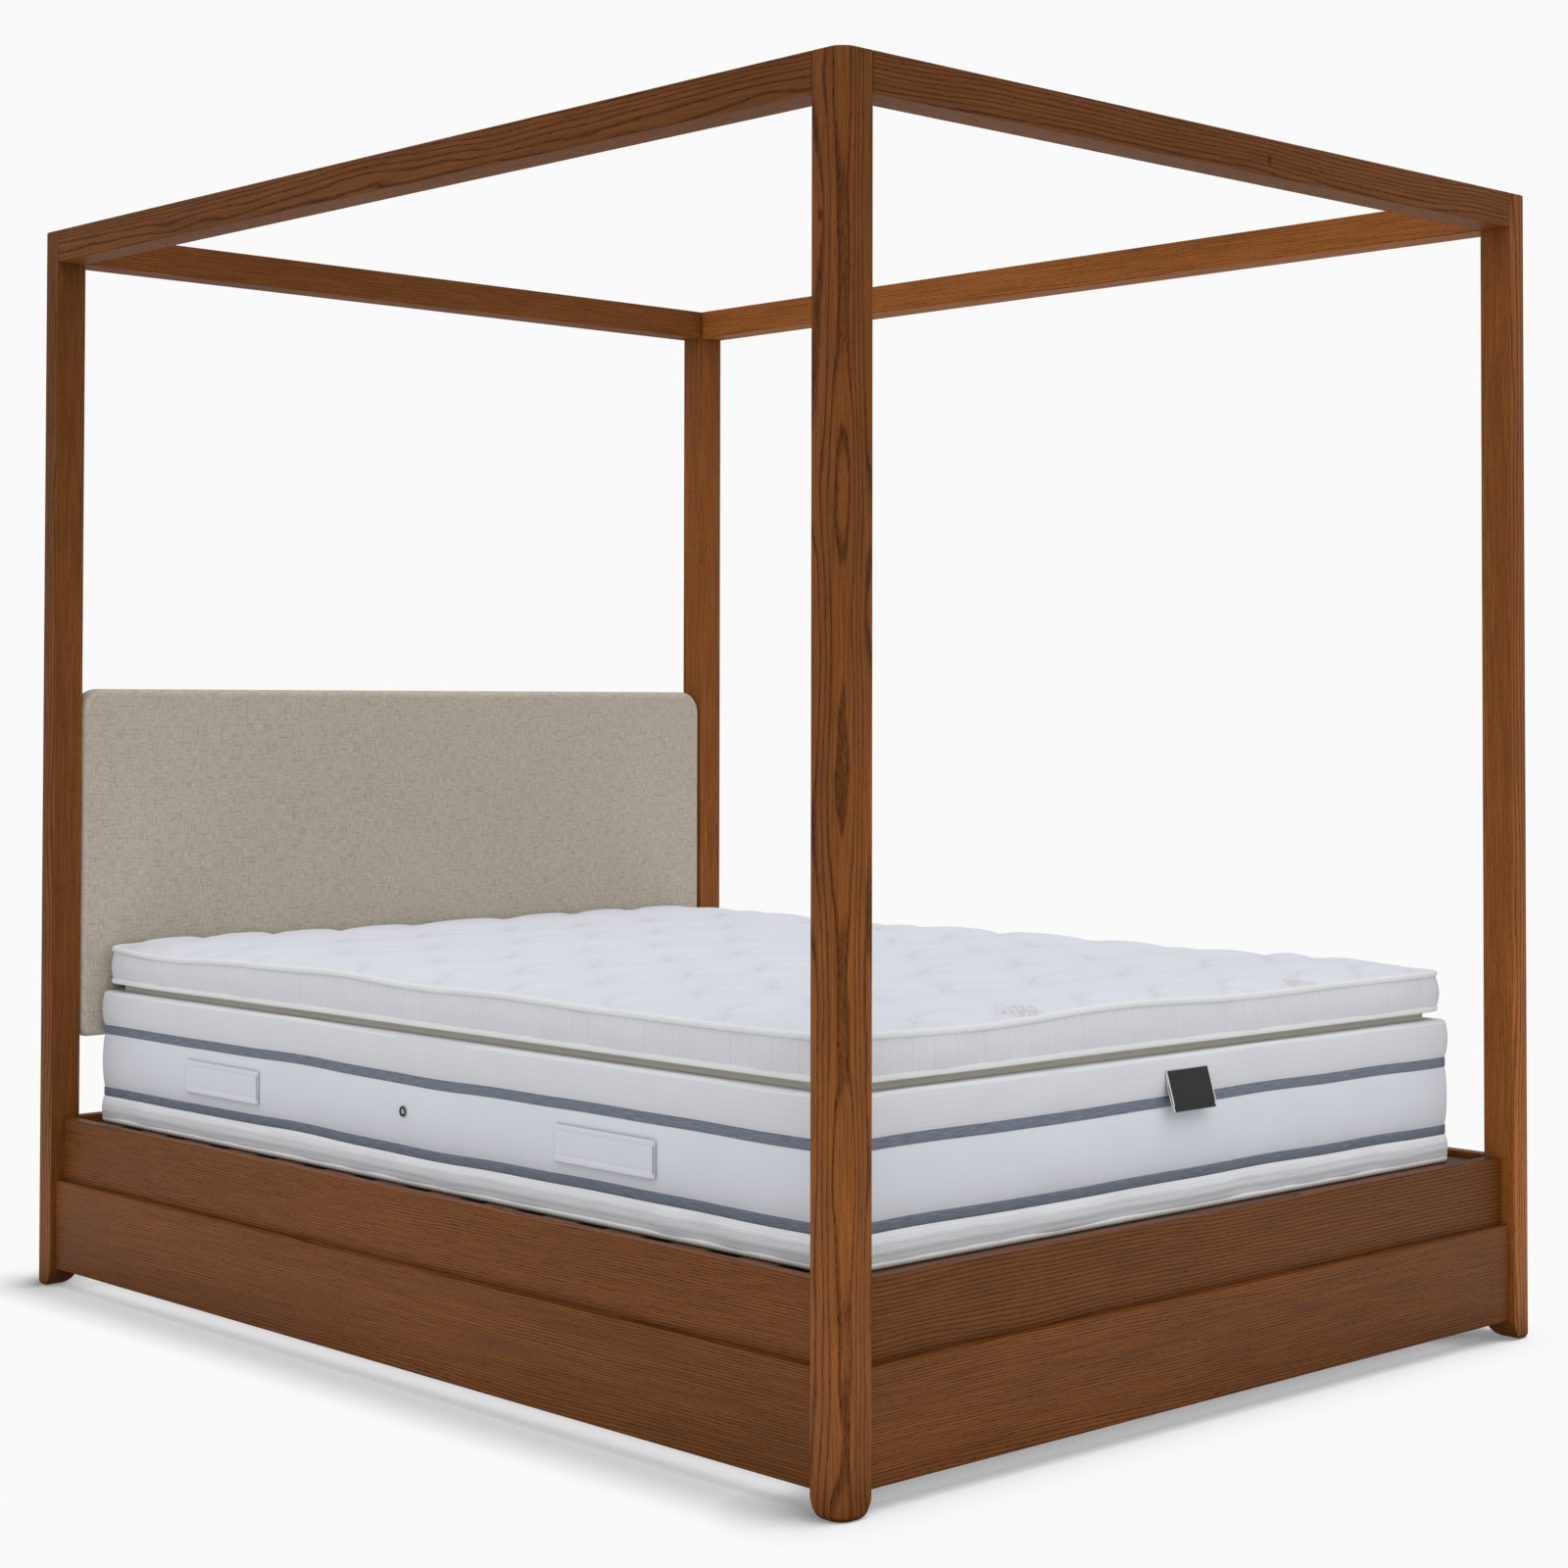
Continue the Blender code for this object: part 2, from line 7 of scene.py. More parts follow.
import bpy
import numpy as np
from bpy.props import FloatProperty, FloatVectorProperty, PointerProperty
from bpy.types import Operator, Panel, PropertyGroup
from mathutils import Matrix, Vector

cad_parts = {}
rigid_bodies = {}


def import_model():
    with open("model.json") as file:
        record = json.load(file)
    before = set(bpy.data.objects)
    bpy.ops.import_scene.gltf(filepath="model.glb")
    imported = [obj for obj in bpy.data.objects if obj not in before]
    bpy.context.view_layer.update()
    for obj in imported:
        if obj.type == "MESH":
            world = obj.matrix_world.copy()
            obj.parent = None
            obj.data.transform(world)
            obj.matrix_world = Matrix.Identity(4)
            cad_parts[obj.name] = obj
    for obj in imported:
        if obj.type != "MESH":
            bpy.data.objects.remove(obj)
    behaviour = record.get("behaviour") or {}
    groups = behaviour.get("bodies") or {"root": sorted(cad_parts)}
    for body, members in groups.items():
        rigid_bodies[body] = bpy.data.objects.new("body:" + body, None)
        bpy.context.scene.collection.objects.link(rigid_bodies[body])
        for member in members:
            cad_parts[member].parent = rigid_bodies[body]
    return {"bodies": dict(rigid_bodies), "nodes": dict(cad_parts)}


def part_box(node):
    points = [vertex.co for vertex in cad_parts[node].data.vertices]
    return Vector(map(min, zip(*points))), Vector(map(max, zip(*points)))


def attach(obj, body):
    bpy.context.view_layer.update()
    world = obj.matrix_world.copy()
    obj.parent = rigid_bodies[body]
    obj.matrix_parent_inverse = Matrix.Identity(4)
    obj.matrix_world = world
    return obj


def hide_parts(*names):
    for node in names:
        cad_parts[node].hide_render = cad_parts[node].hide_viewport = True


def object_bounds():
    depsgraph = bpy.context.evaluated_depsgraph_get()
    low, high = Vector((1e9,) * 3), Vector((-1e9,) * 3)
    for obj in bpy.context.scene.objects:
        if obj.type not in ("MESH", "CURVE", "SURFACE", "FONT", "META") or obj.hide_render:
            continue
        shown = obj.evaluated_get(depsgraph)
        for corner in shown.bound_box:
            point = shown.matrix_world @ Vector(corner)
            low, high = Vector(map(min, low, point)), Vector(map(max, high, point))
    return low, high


bl_info = {
    "name": "Canopy Bed",
    "version": (1, 0, 0),
    "blender": (4, 5, 0),
    "location": "View3D > Sidebar > Canopy Bed",
    "description": "Dresses a four poster canopy bed with oak, linen and a pillow-top mattress",
    "category": "Object",
}

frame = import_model()
for stranger in set(bpy.data.objects) - set(frame["bodies"].values()) - set(frame["nodes"].values()):
    bpy.data.objects.remove(stranger)
CAD_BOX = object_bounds()

POSTS = ("foot_left_post", "foot_right_post", "head_left_post", "head_right_post")
SIDE_OAK = (
    "left_top_rail",
    "right_top_rail",
    "left_side_board",
    "right_side_board",
    "left_plinth_board",
    "right_plinth_board",
)
END_OAK = ("foot_top_rail", "head_top_rail", "foot_board", "head_board_rail", "foot_plinth_board")
SIDE_PINE = ("left_slat_bearer", "right_slat_bearer", "centre_rail")
END_PINE = tuple("slat_%02d" % number for number in range(1, 15))
UPRIGHT_PINE = ("centre_leg",)
STEEL = tuple(
    name for name in sorted(frame["nodes"]) if name.endswith(("bolt", "hanger")) or "bracket" in name
)

# How much paler or darker than the common stain each oak piece is
OAK_TINTS = {
    "foot_left_post": 1.13,
    "foot_right_post": 1.52,
    "head_right_post": 1.46,
    "head_left_post": 1.02,
    "right_top_rail": 1.80,
    "foot_board": 0.76,
    "foot_plinth_board": 0.87,
    "left_side_board": 0.88,
    "left_plinth_board": 0.87,
}

# The mattress, in metres above the underside of its core, and inwards from its outline
TAPE_LEVELS = (0.0588, 0.1755)
TAPE_TALL = 0.0172
TAPE_PROUD = 0.0012
SEAM_WAVE = 0.0012
RIB_PITCH = 0.0132
CORE_ROUND = 0.022
NECK_ROUND = 0.012
CORE_STEP = 0.0045
CORE_ROWS = 52
HEAD_PRESS = 0.85
EDGE_IN = 0.004
CORE_PIPES = (("low", 0.0072, 0.1), ("high", 0.0052, 1.0))
TOPPER_PIPES = (("low", 0.0058, 0.15), ("high", 0.0054, 1.0))
TOPPER_ROUND = 0.030
TOPPER_STEP = 0.0082
TOPPER_PIPE_LOW = 0.0060
TOPPER_PIPE_HIGH = 0.066
QUILT_SPACING = 0.235
QUILT_WAVE = 0.37
TUCK_SPACING = 0.041
HEADBOARD_ROUND = 0.048
HEADBOARD_SQUARE = 0.008
HEADBOARD_STEP = 0.008
HEADBOARD_ROLL = 0.013
CROWN_DROP = 0.002

# How the topper is swelled
SWELL_PRESSURE = 4.0
SWELL_LIMIT = 0.004
SWELL_FRAMES = 20
SEWN_FROM = 0.84

# The studio's floor, and how far its painted shades and its painted bounce glow reach past or under the
# bed's edges
FLOOR_REACH = 60.0
CONTACT_REACH = 0.15
CONTACT_LEAN = (0.45, -0.80, 1.0)
UNDERSIDE = (-0.17, -0.06)
BOUNCE_NEAR = (0.0, 0.22)
BOUNCE_FAR = (0.7, 3.8)

WHITE = (1.0, 1.0, 1.0, 1.0)


# Properties


def colour_setting(name, description, default):
    return FloatVectorProperty(
        name=name, description=description, subtype="COLOR", default=default, min=0.0, max=1.0
    )


def angle_setting(name, description, degrees):
    return FloatProperty(
        name=name, description=description, subtype="ANGLE", default=math.radians(degrees)
    )


class CanopyBedOak(PropertyGroup):
    """Colours and figure of the stained oak."""

    light: colour_setting("Latewood", "Colour between the rings' pores", (0.196, 0.064, 0.0140))
    dark: colour_setting("Earlywood", "Colour along the rings' pores", (0.074, 0.0220, 0.0042))
    pore: colour_setting("Pores", "Colour inside the open pores", (0.030, 0.009, 0.0025))
    ring: FloatProperty(
        name="Ring spacing", description="Mean width of a year's growth", default=0.0044,
        min=0.001, max=0.02, unit="LENGTH",
    )
    figure: FloatProperty(
        name="Figure", description="How far the rings wander along a board", default=0.022,
        min=0.0, max=0.1, unit="LENGTH",
    )


class CanopyBedCloth(PropertyGroup):
    """Colours and relief of the mattress and headboard cloths."""

    ticking: colour_setting("Ticking", "White stretch knit of the mattress", (0.650, 0.676, 0.734))
    piping: colour_setting("Piping", "Bound edges of the mattress", (0.735, 0.745, 0.765))
    tape: colour_setting("Tape", "Ribbon round the mattress's sides", (0.155, 0.18, 0.225))
    neck: colour_setting("Neck", "Calico between core and topper", (0.76, 0.72, 0.58))
    linen: colour_setting("Linen", "Oatmeal cloth of the headboard", (0.520, 0.462, 0.388))
    lower: colour_setting("Lower band", "Open ribbed knit of the core's lowest band", (0.88, 0.895, 0.94))
    hem: colour_setting("Hem", "Binding round the bottom of the core", (0.94, 0.94, 0.95))
    boxing: colour_setting(
        "Boxing", "Knit of the topper's side and the core's upper band", (0.645, 0.650, 0.690)
    )
    quilting: FloatProperty(
        name="Quilting", description="Depth of the topper's sewn lines", default=0.0120,
        min=0.0, max=0.02, unit="LENGTH",
    )
    puckers: FloatProperty(
        name="Puckers", description="Depth of the tucks in the topper's side", default=0.0013,
        min=0.0, max=0.01, unit="LENGTH",
    )


class CanopyBedStage(PropertyGroup):
    """Camera, floor and light."""

    camera_place: FloatVectorProperty(
        name="Camera place", description="Where the camera stands", subtype="TRANSLATION",
        unit="LENGTH", default=(-3.553, -3.793, 1.0974),
    )
    azimuth: angle_setting("Azimuth", "Camera's heading, from +Y towards +X", 42.761)
    pitch: angle_setting("Pitch", "Camera's tilt above the horizon", 1.3906)
    roll: angle_setting("Roll", "Camera's turn about its own axis", 0.1216)
    lens: FloatProperty(
        name="Lens", description="Focal length on a 36 mm sensor, in millimetres", default=65.40,
        min=10.0, max=200.0,
    )
    shift_x: FloatProperty(name="Shift X", description="Sideways lens shift", default=0.0309)
    shift_y: FloatProperty(name="Shift Y", description="Upward lens shift", default=-0.0955)
    sky: FloatProperty(name="Sky", description="Strength of the all-round light", default=0.60, min=0.0)
    key: FloatProperty(name="Key", description="Strength of the soft overhead light", default=1.72, min=0.0)
    backdrop: FloatProperty(
        name="Backdrop", description="Brightness of the backdrop that is seen", default=0.955, min=0.0,
    )


# Node trees


class Tree:
    """Short calls that wire a material or a node group."""

    def __init__(self, tree):
        self.nodes = tree.nodes
        self.links = tree.links

    def feed(self, socket, value):
        if isinstance(value, bpy.types.NodeSocket):
            self.links.new(value, socket)
        else:
            socket.default_value = value

    def add(self, kind, inputs=None, **settings):
        node = self.nodes.new(kind)
        for name, value in settings.items():
            setattr(node, name, value)
        for key, value in (inputs or {}).items():
            self.feed(node.inputs[key], value)
        return node

    def math(self, operation, first, second=0.0):
        return self.add("ShaderNodeMath", {0: first, 1: second}, operation=operation).outputs[0]

    def times(self, first, second):
        return self.math("MULTIPLY", first, second)

    def plus(self, first, second):
        return self.math("ADD", first, second)

    def vector(self, operation, first, second=(0.0, 0.0, 0.0)):
        return self.add("ShaderNodeVectorMath", {0: first, 1: second}, operation=operation).outputs[0]

    def length(self, first):
        return self.add("ShaderNodeVectorMath", {0: first}, operation="LENGTH").outputs["Value"]

    def noise(self, vector, scale, detail=2.0, output="Fac"):
        """Noise at so many cells to the metre along each axis."""
        stretched = self.vector("MULTIPLY", vector, scale)
        inputs = {"Vector": stretched, "Scale": 1.0, "Detail": detail}
        return self.add("ShaderNodeTexNoise", inputs).outputs[output]

    def band(self, value, low, high, start=0.0, end=1.0):
        """Value carried smoothly from start to end as it goes from low to high."""
        inputs = {"Value": value, "From Min": low, "From Max": high, "To Min": start, "To Max": end}
        return self.add("ShaderNodeMapRange", inputs, interpolation_type="SMOOTHSTEP").outputs["Result"]

    def mix(self, factor, first, second, blend="MIX"):
        inputs = {0: factor, 6: first, 7: second}
        return self.add("ShaderNodeMix", inputs, data_type="RGBA", blend_type=blend).outputs[2]

    def parts(self, vector):
        return self.add("ShaderNodeSeparateXYZ", {0: vector}).outputs

    def place(self, kind="Object"):
        return self.add("ShaderNodeTexCoord").outputs[kind]

    def field(self, name):
        return self.add("ShaderNodeAttribute", attribute_name=name).outputs["Fac"]

    def paint(self, shader, colour):
        self.feed(shader.inputs["Base Color"], colour)

    def grey(self, value):
        return self.add("ShaderNodeCombineColor", {0: value, 1: value, 2: value}).outputs[0]

    def shaded(self, colour, value):
        """A colour made paler or darker by a value that goes round 1."""
        return self.mix(1.0, colour, self.grey(value), "MULTIPLY")

    def bump(self, height, distance, strength=1.0):
        inputs = {"Height": height, "Distance": distance, "Strength": strength}
        return self.add("ShaderNodeBump", inputs).outputs["Normal"]

    def group(self, group, inputs):
        node = self.add("ShaderNodeGroup")
        node.node_tree = group
        for key, value in inputs.items():
            self.feed(node.inputs[key], value)
        return node.outputs


def solid(colour):
    return (*colour, 1.0)


def new_group(name, inputs, outputs):
    """An empty shader node group, with its tree, its inputs' outputs and its output node."""
    group = bpy.data.node_groups.new(name, "ShaderNodeTree")
    for label, kind, default in inputs:
        socket = group.interface.new_socket(label, in_out="INPUT", socket_type=kind)
        if default is not None:
            socket.default_value = default
    for label, kind in outputs:
        group.interface.new_socket(label, in_out="OUTPUT", socket_type=kind)
    tree = Tree(group)
    return group, tree, tree.add("NodeGroupInput").outputs, tree.add("NodeGroupOutput").inputs


def grain_group():
    """Ring-porous timber, its length along Z.

    A ring's number is the distance from the pith axis, pushed about by slow noise, over the ring
    spacing. The start of each ring holds long narrow pores, and fine fibres run through it all.
    """
    found = bpy.data.node_groups.get("timber_grain")
    if found:
        return found
    group, tree, given, out = new_group(
        "timber_grain",
        [
            ("Vector", "NodeSocketVector", None),
            ("Latewood", "NodeSocketColor", (0.2, 0.08, 0.03, 1.0)),
            ("Earlywood", "NodeSocketColor", (0.1, 0.04, 0.01, 1.0)),
            ("Pores", "NodeSocketColor", (0.05, 0.02, 0.01, 1.0)),
            ("Ring spacing", "NodeSocketFloat", 0.004),
            ("Figure", "NodeSocketFloat", 0.03),
            ("Pore amount", "NodeSocketFloat", 1.0),
            ("Roughness", "NodeSocketFloat", 0.45),
        ],
        [("Color", "NodeSocketColor"), ("Roughness", "NodeSocketFloat"), ("Normal", "NodeSocketVector")],
    )
    place = given["Vector"]
    slow = tree.vector("SUBTRACT", tree.noise(place, (5.0, 5.0, 2.4), 1.5, "Color"), (0.5, 0.5, 0.5))
    push = tree.add("ShaderNodeVectorMath", {0: slow, 3: given["Figure"]}, operation="SCALE").outputs[0]
    quick = tree.vector("SUBTRACT", tree.noise(place, (60.0, 60.0, 9.0), 1.5, "Color"), (0.5, 0.5, 0.5))
    small = tree.vector("MULTIPLY", quick, (0.0024, 0.0024, 0.0))
    moved = tree.vector("ADD", tree.vector("ADD", place, push), small)
    radius = tree.length(tree.vector("MULTIPLY", moved, (1.0, 1.0, 0.0)))
    number = tree.math("DIVIDE", radius, given["Ring spacing"])
    uneven = tree.times(tree.noise(place, (30.0, 30.0, 0.8), 0.0), 1.6)
    within = tree.math("FRACT", tree.plus(number, uneven))
    rise = tree.band(within, 0.0, 0.14)
    fall = tree.band(within, 0.14, 0.46, 1.0, 0.0)
    early = tree.times(rise, fall)

    speck = tree.band(tree.noise(place, (820.0, 820.0, 75.0), 1.0), 0.52, 0.64)
    held = tree.plus(tree.times(early, 0.8), 0.2)
    pores = tree.times(tree.times(speck, held), given["Pore amount"])
    fibre = tree.noise(place, (420.0, 420.0, 9.0), 3.0)
    tone = tree.noise(place, (7.0, 7.0, 1.1), 2.0)

    colour = tree.mix(tree.times(early, 0.80), given["Latewood"], given["Earlywood"])
    shade = tree.band(fibre, 0.25, 0.75, 0.74, 1.24)
    shade = tree.times(shade, tree.band(tone, 0.25, 0.75, 0.86, 1.12))
    colour = tree.shaded(colour, shade)
    colour = tree.mix(tree.times(pores, 0.85), colour, given["Pores"])
    tree.feed(out["Color"], colour)
    rough = tree.plus(given["Roughness"], tree.times(pores, 0.25))
    tree.feed(out["Roughness"], tree.plus(rough, tree.band(fibre, 0.3, 0.7, -0.04, 0.05)))
    height = tree.math("SUBTRACT", tree.times(fibre, 0.25), tree.times(pores, 0.9))
    height = tree.math("SUBTRACT", height, tree.times(early, 0.2))
    tree.feed(out["Normal"], tree.bump(height, 0.00035, 0.6))
    return group


def cloth_group():
    """Woven or knitted cloth on a map in metres: two crossed sets of threads, slubs, and soft creases shown
    only as painted shade, a slow cloudy change in the colour.
    """
    found = bpy.data.node_groups.get("cloth_surface")
    if found:
        return found
    group, tree, given, out = new_group(
        "cloth_surface",
        [
            ("Vector", "NodeSocketVector", None),
            ("Color", "NodeSocketColor", (0.6, 0.6, 0.6, 1.0)),
            ("Threads", "NodeSocketFloat", 900.0),
            ("Slub", "NodeSocketFloat", 0.1),
            ("Relief", "NodeSocketFloat", 0.4),
        ],
        [("Color", "NodeSocketColor"), ("Height", "NodeSocketFloat"), ("Normal", "NodeSocketVector")],
    )
    place = given["Vector"]
    scaled = tree.add("ShaderNodeVectorMath", {0: place, 3: given["Threads"]}, operation="SCALE").outputs[0]
    parts = tree.parts(scaled)
    warp = tree.math("SINE", tree.times(parts[0], math.tau))
    weft = tree.math("SINE", tree.times(parts[1], math.tau))
    weave = tree.times(tree.plus(warp, weft), 0.25)
    across = tree.noise(place, (60.0, 420.0, 320.0), 2.0)
    along = tree.noise(place, (420.0, 60.0, 320.0), 2.0)
    slub = tree.math("SUBTRACT", tree.plus(across, along), 1.0)
    # Painted shade of soft creases: a slow cloudy change in the colour
    crease_shade = tree.math("SUBTRACT", tree.noise(place, (9.0, 9.0, 9.0), 2.0), 0.5)
    uneven = tree.times(slub, given["Slub"])
    value = tree.plus(tree.times(crease_shade, 0.06), tree.plus(uneven, 1.0))
    tree.feed(out["Color"], tree.shaded(given["Color"], value))
    height = tree.plus(weave, tree.times(slub, 1.2))
    tree.feed(out["Height"], height)
    height = tree.times(height, given["Relief"])
    tree.feed(out["Normal"], tree.bump(height, 0.0004, 0.8))
    return group


SHADER_NAMES = {
    "metallic": "Metallic",
    "sheen_weight": "Sheen Weight",
    "sheen_roughness": "Sheen Roughness",
    "specular_ior_level": "Specular IOR Level",
}


def new_material(name, roughness=0.8, **constants):
    """A material with its tree and its Principled shader, joined to the output."""
    material = bpy.data.materials.new(name)
    material.use_nodes = True
    tree = Tree(material.node_tree)
    tree.nodes.clear()
    shader = tree.add("ShaderNodeBsdfPrincipled")
    shader.inputs["Roughness"].default_value = roughness
    for key, value in constants.items():
        shader.inputs[SHADER_NAMES[key]].default_value = value
    tree.add("ShaderNodeOutputMaterial", {"Surface": shader.outputs[0]})
    return material, tree, shader


GRAIN_TURN = {
    "upright": (0.0, 0.0, 0.0),
    "side": (math.pi / 2, 0.0, 0.0),
    "end": (0.0, -math.pi / 2, 0.0),
}


def turned(point, way):
    """A point in a board's own directions, its length last, as the Mapping node turns it."""
    x, y, z = point
    if way == "side":
        return (x, -z, y)
    if way == "end":
        return (-z, y, x)
    return (x, y, z)


def timber(name, node, way, pith, colours, grown, roughness, gloss, knot=None):
    """Timber for one board: its grain runs the given way, and pith is where the tree's heart lies from it.

    grown holds the ring spacing, the figure and the amount of pores, and knot is a point in the bed's
    frame round which the wood darkens.
    """
    material, tree, shader = new_material(name, roughness, specular_ior_level=gloss)
    place = tree.place()
    low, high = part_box(node)
    middle = turned(middle_of(low, high, (0, 1, 2)), way)
    shift = [pith[axis] - middle[axis] for axis in (0, 1, 2)]
    mapping = {"Vector": place, "Location": shift, "Rotation": GRAIN_TURN[way]}
    mapped = tree.add("ShaderNodeMapping", mapping).outputs[0]
    given = {
        "Vector": mapped,
        "Latewood": solid(colours[0]),
        "Earlywood": solid(colours[1]),
        "Pores": solid(colours[2]),
        "Ring spacing": grown[0],
        "Figure": grown[1],
        "Pore amount": grown[2],
        "Roughness": roughness,
    }
    made = tree.group(grain_group(), given)
    colour = made["Color"]
    if knot:
        away = tree.vector("MULTIPLY", tree.vector("SUBTRACT", place, knot), (1.0, 1.0, 0.55))
        mask = tree.band(tree.length(away), 0.002, 0.0075, 0.75, 0.0)
        colour = tree.mix(mask, colour, solid(colours[2]))
    tree.paint(shader, colour)
    tree.feed(shader.inputs["Roughness"], made["Roughness"])
    tree.feed(shader.inputs["Normal"], made["Normal"])
    return material


def cloth(name, colour, threads, slub, relief, roughness=0.9, sheen=0.05):
    """Plain cloth on its own map: the material, its tree, shader and weave, and the map's vector."""
    material, tree, shader = new_material(
        name, roughness, sheen_weight=sheen, sheen_roughness=0.5, specular_ior_level=0.2
    )
    source = tree.place("UV")
    given = {"Vector": source, "Color": solid(colour), "Threads": threads, "Slub": slub, "Relief": relief}
    made = tree.group(cloth_group(), given)
    tree.paint(shader, made["Color"])
    tree.feed(shader.inputs["Normal"], made["Normal"])
    return material, tree, shader, made, source


def ribbed_knit(name, colour, pitch, direction, depth, cells=0.0, shade=0.94):
    """Knit with ribs up the cloth for direction 0 and along it for 1; cells adds rows of open mesh. The
    ribs' valleys and the mesh's holes are darkened by painted shade, and shade sets how dark.
    """
    material, tree, shader, made, source = cloth(name, colour, 700.0, 0.035, 0.25)
    parts = tree.parts(source)
    drift = tree.times(tree.noise(source, (7.0, 30.0, 1.0), 2.0), 0.012)
    across = tree.plus(parts[direction], drift)
    rib = tree.math("SINE", tree.times(across, math.tau / pitch))
    height = tree.plus(tree.times(rib, 0.5), tree.times(made["Height"], 0.25))
    # Painted shade in the ribs' valleys
    tone = tree.band(rib, -1.0, 0.2, shade, 1.0)
    if cells:
        hole = tree.add("ShaderNodeTexVoronoi", {"Vector": source, "Scale": cells, "Randomness": 0.15})
        # Painted shade in the open mesh's holes
        open_mesh = tree.band(hole.outputs["Distance"], 0.18, 0.42, 0.88, 1.0)
        tone = tree.times(tone, open_mesh)
        height = tree.plus(height, open_mesh)
    tree.paint(shader, tree.shaded(made["Color"], tone))
    tree.feed(shader.inputs["Normal"], tree.bump(height, depth, 0.7))
    return material


def tape_material(colour):
    """Woven ribbon with lengthwise streaks."""
    material, tree, shader, made, source = cloth("grey_tape", colour, 500.0, 0.1, 0.4, 0.7)
    streak = tree.band(tree.noise(source, (38.0, 900.0, 1.0), 3.0), 0.3, 0.7, 0.72, 1.28)
    tree.paint(shader, tree.shaded(made["Color"], streak))
    return material


def metal(name, colour, roughness, grain):
    """Plated metal with a faint crystalline mottling."""
    material, tree, shader = new_material(name, roughness, metallic=1.0)
    place = tree.place()
    mottle = tree.noise(place, (grain, grain, grain), 2.0)
    value = tree.band(mottle, 0.3, 0.7, 0.85, 1.1)
    tree.paint(shader, tree.shaded(solid(colour), value))
    tree.feed(shader.inputs["Roughness"], tree.band(mottle, 0.2, 0.8, roughness - 0.06, roughness + 0.1))
    tree.feed(shader.inputs["Normal"], tree.bump(mottle, 0.00005, 0.4))
    return material


def reopened(material):
    """A made material's tree and shader, and the socket that feeds its colour."""
    tree = Tree(material.node_tree)
    shader = next(node for node in tree.nodes if node.type == "BSDF_PRINCIPLED")
    return tree, shader, shader.inputs["Base Color"].links[0].from_socket


def finish_node(name, material):
    frame["nodes"][name].material_slots[0].material = material


# Surfaces


def put_mesh(name, points, faces, uvs=None):
    """A smooth mesh object from arrays; uvs holds one pair for each corner of each face, in order."""
    mesh = bpy.data.meshes.new(name)
    mesh.from_pydata(points.reshape(-1, 3).tolist(), [], faces)
    if uvs is not None:
        layer = mesh.uv_layers.new(name="cloth")
        layer.data.foreach_set("uv", uvs.astype(np.float32).ravel())
    mesh.shade_smooth()
    made = bpy.data.objects.new(name, mesh)
    bpy.context.scene.collection.objects.link(made)
    return made


def put_field(made, name, values):
    """Keep a number for each point, which the piece's material reads."""
    field = made.data.attributes.new(name, "FLOAT", "POINT")
    field.data.foreach_set("value", values.astype(np.float32))


def coordinates(made):
    """A piece's points as three arrays."""
    where = np.empty(len(made.data.vertices) * 3)
    made.data.vertices.foreach_get("co", where)
    return where.reshape(-1, 3).T


def ripple(x, y, seed, shortest, longest, count=14):
    """Slow uneven waves over the plan: a sum of cosines with seeded lengths, headings and phases."""
    draw = np.random.default_rng(seed)
    lengths = shortest * (longest / shortest) ** draw.random(count)
    headings = draw.random(count) * math.tau
    phases = draw.random(count) * math.tau
    wave_x = math.tau * np.cos(headings) / lengths
    wave_y = math.tau * np.sin(headings) / lengths
    waves = np.cos(np.multiply.outer(x, wave_x) + np.multiply.outer(y, wave_y) + phases)
    return waves.sum(axis=-1) / math.sqrt(count / 2)


def middle_of(low, high, axes):
    return [(low[axis] + high[axis]) / 2 for axis in axes]


def half_of(low, high, axes):
    return [(high[axis] - low[axis]) / 2 for axis in axes]


class Outline:
    """A round-cornered rectangle walked anticlockwise at even steps.

    A point is a core point, which runs straight between the corners' centres, plus the corner radius
    along the outward normal, whose angle stays still on the sides and turns evenly round the corners.
    """

    def __init__(self, low, high, inset, radius, step):
        reach = np.array(half_of(low, high, (0, 1))) - inset - radius
        middle = middle_of(low, high, (0, 1))
        quarter = math.pi * radius / 2
        runs = [2 * reach[1], quarter, 2 * reach[0], quarter] * 2
        knots = np.concatenate([[0.0], np.cumsum(runs)])
        signs_x = np.array([1, 1, 1, -1, -1, -1, -1, 1, 1])
        signs_y = np.array([-1, 1, 1, 1, 1, -1, -1, -1, -1])
        turns = np.array([0, 0, 1, 1, 2, 2, 3, 3, 4]) * math.pi / 2
        self.total = knots[-1]
        count = int(self.total / step)
        self.along = np.arange(count) * self.total / count
        angle = np.interp(self.along, knots, turns)
        self.normal = np.stack([np.cos(angle), np.sin(angle)], axis=-1)
        core_x = middle[0] + np.interp(self.along, knots, signs_x * reach[0])
        core_y = middle[1] + np.interp(self.along, knots, signs_y * reach[1])
        self.edge = np.stack([core_x, core_y], axis=-1) + radius * self.normal

    def surface(self, offsets, heights):
        """Points for rows of outward offsets and heights, each (rows,) or (around, rows)."""
        around = len(self.along)
        offsets = np.broadcast_to(offsets, (around, np.shape(offsets)[-1]))
        heights = np.broadcast_to(heights, offsets.shape)
        plan = self.edge[:, None, :] + offsets[..., None] * self.normal[:, None, :]
        return np.concatenate([plan, heights[..., None]], axis=-1)


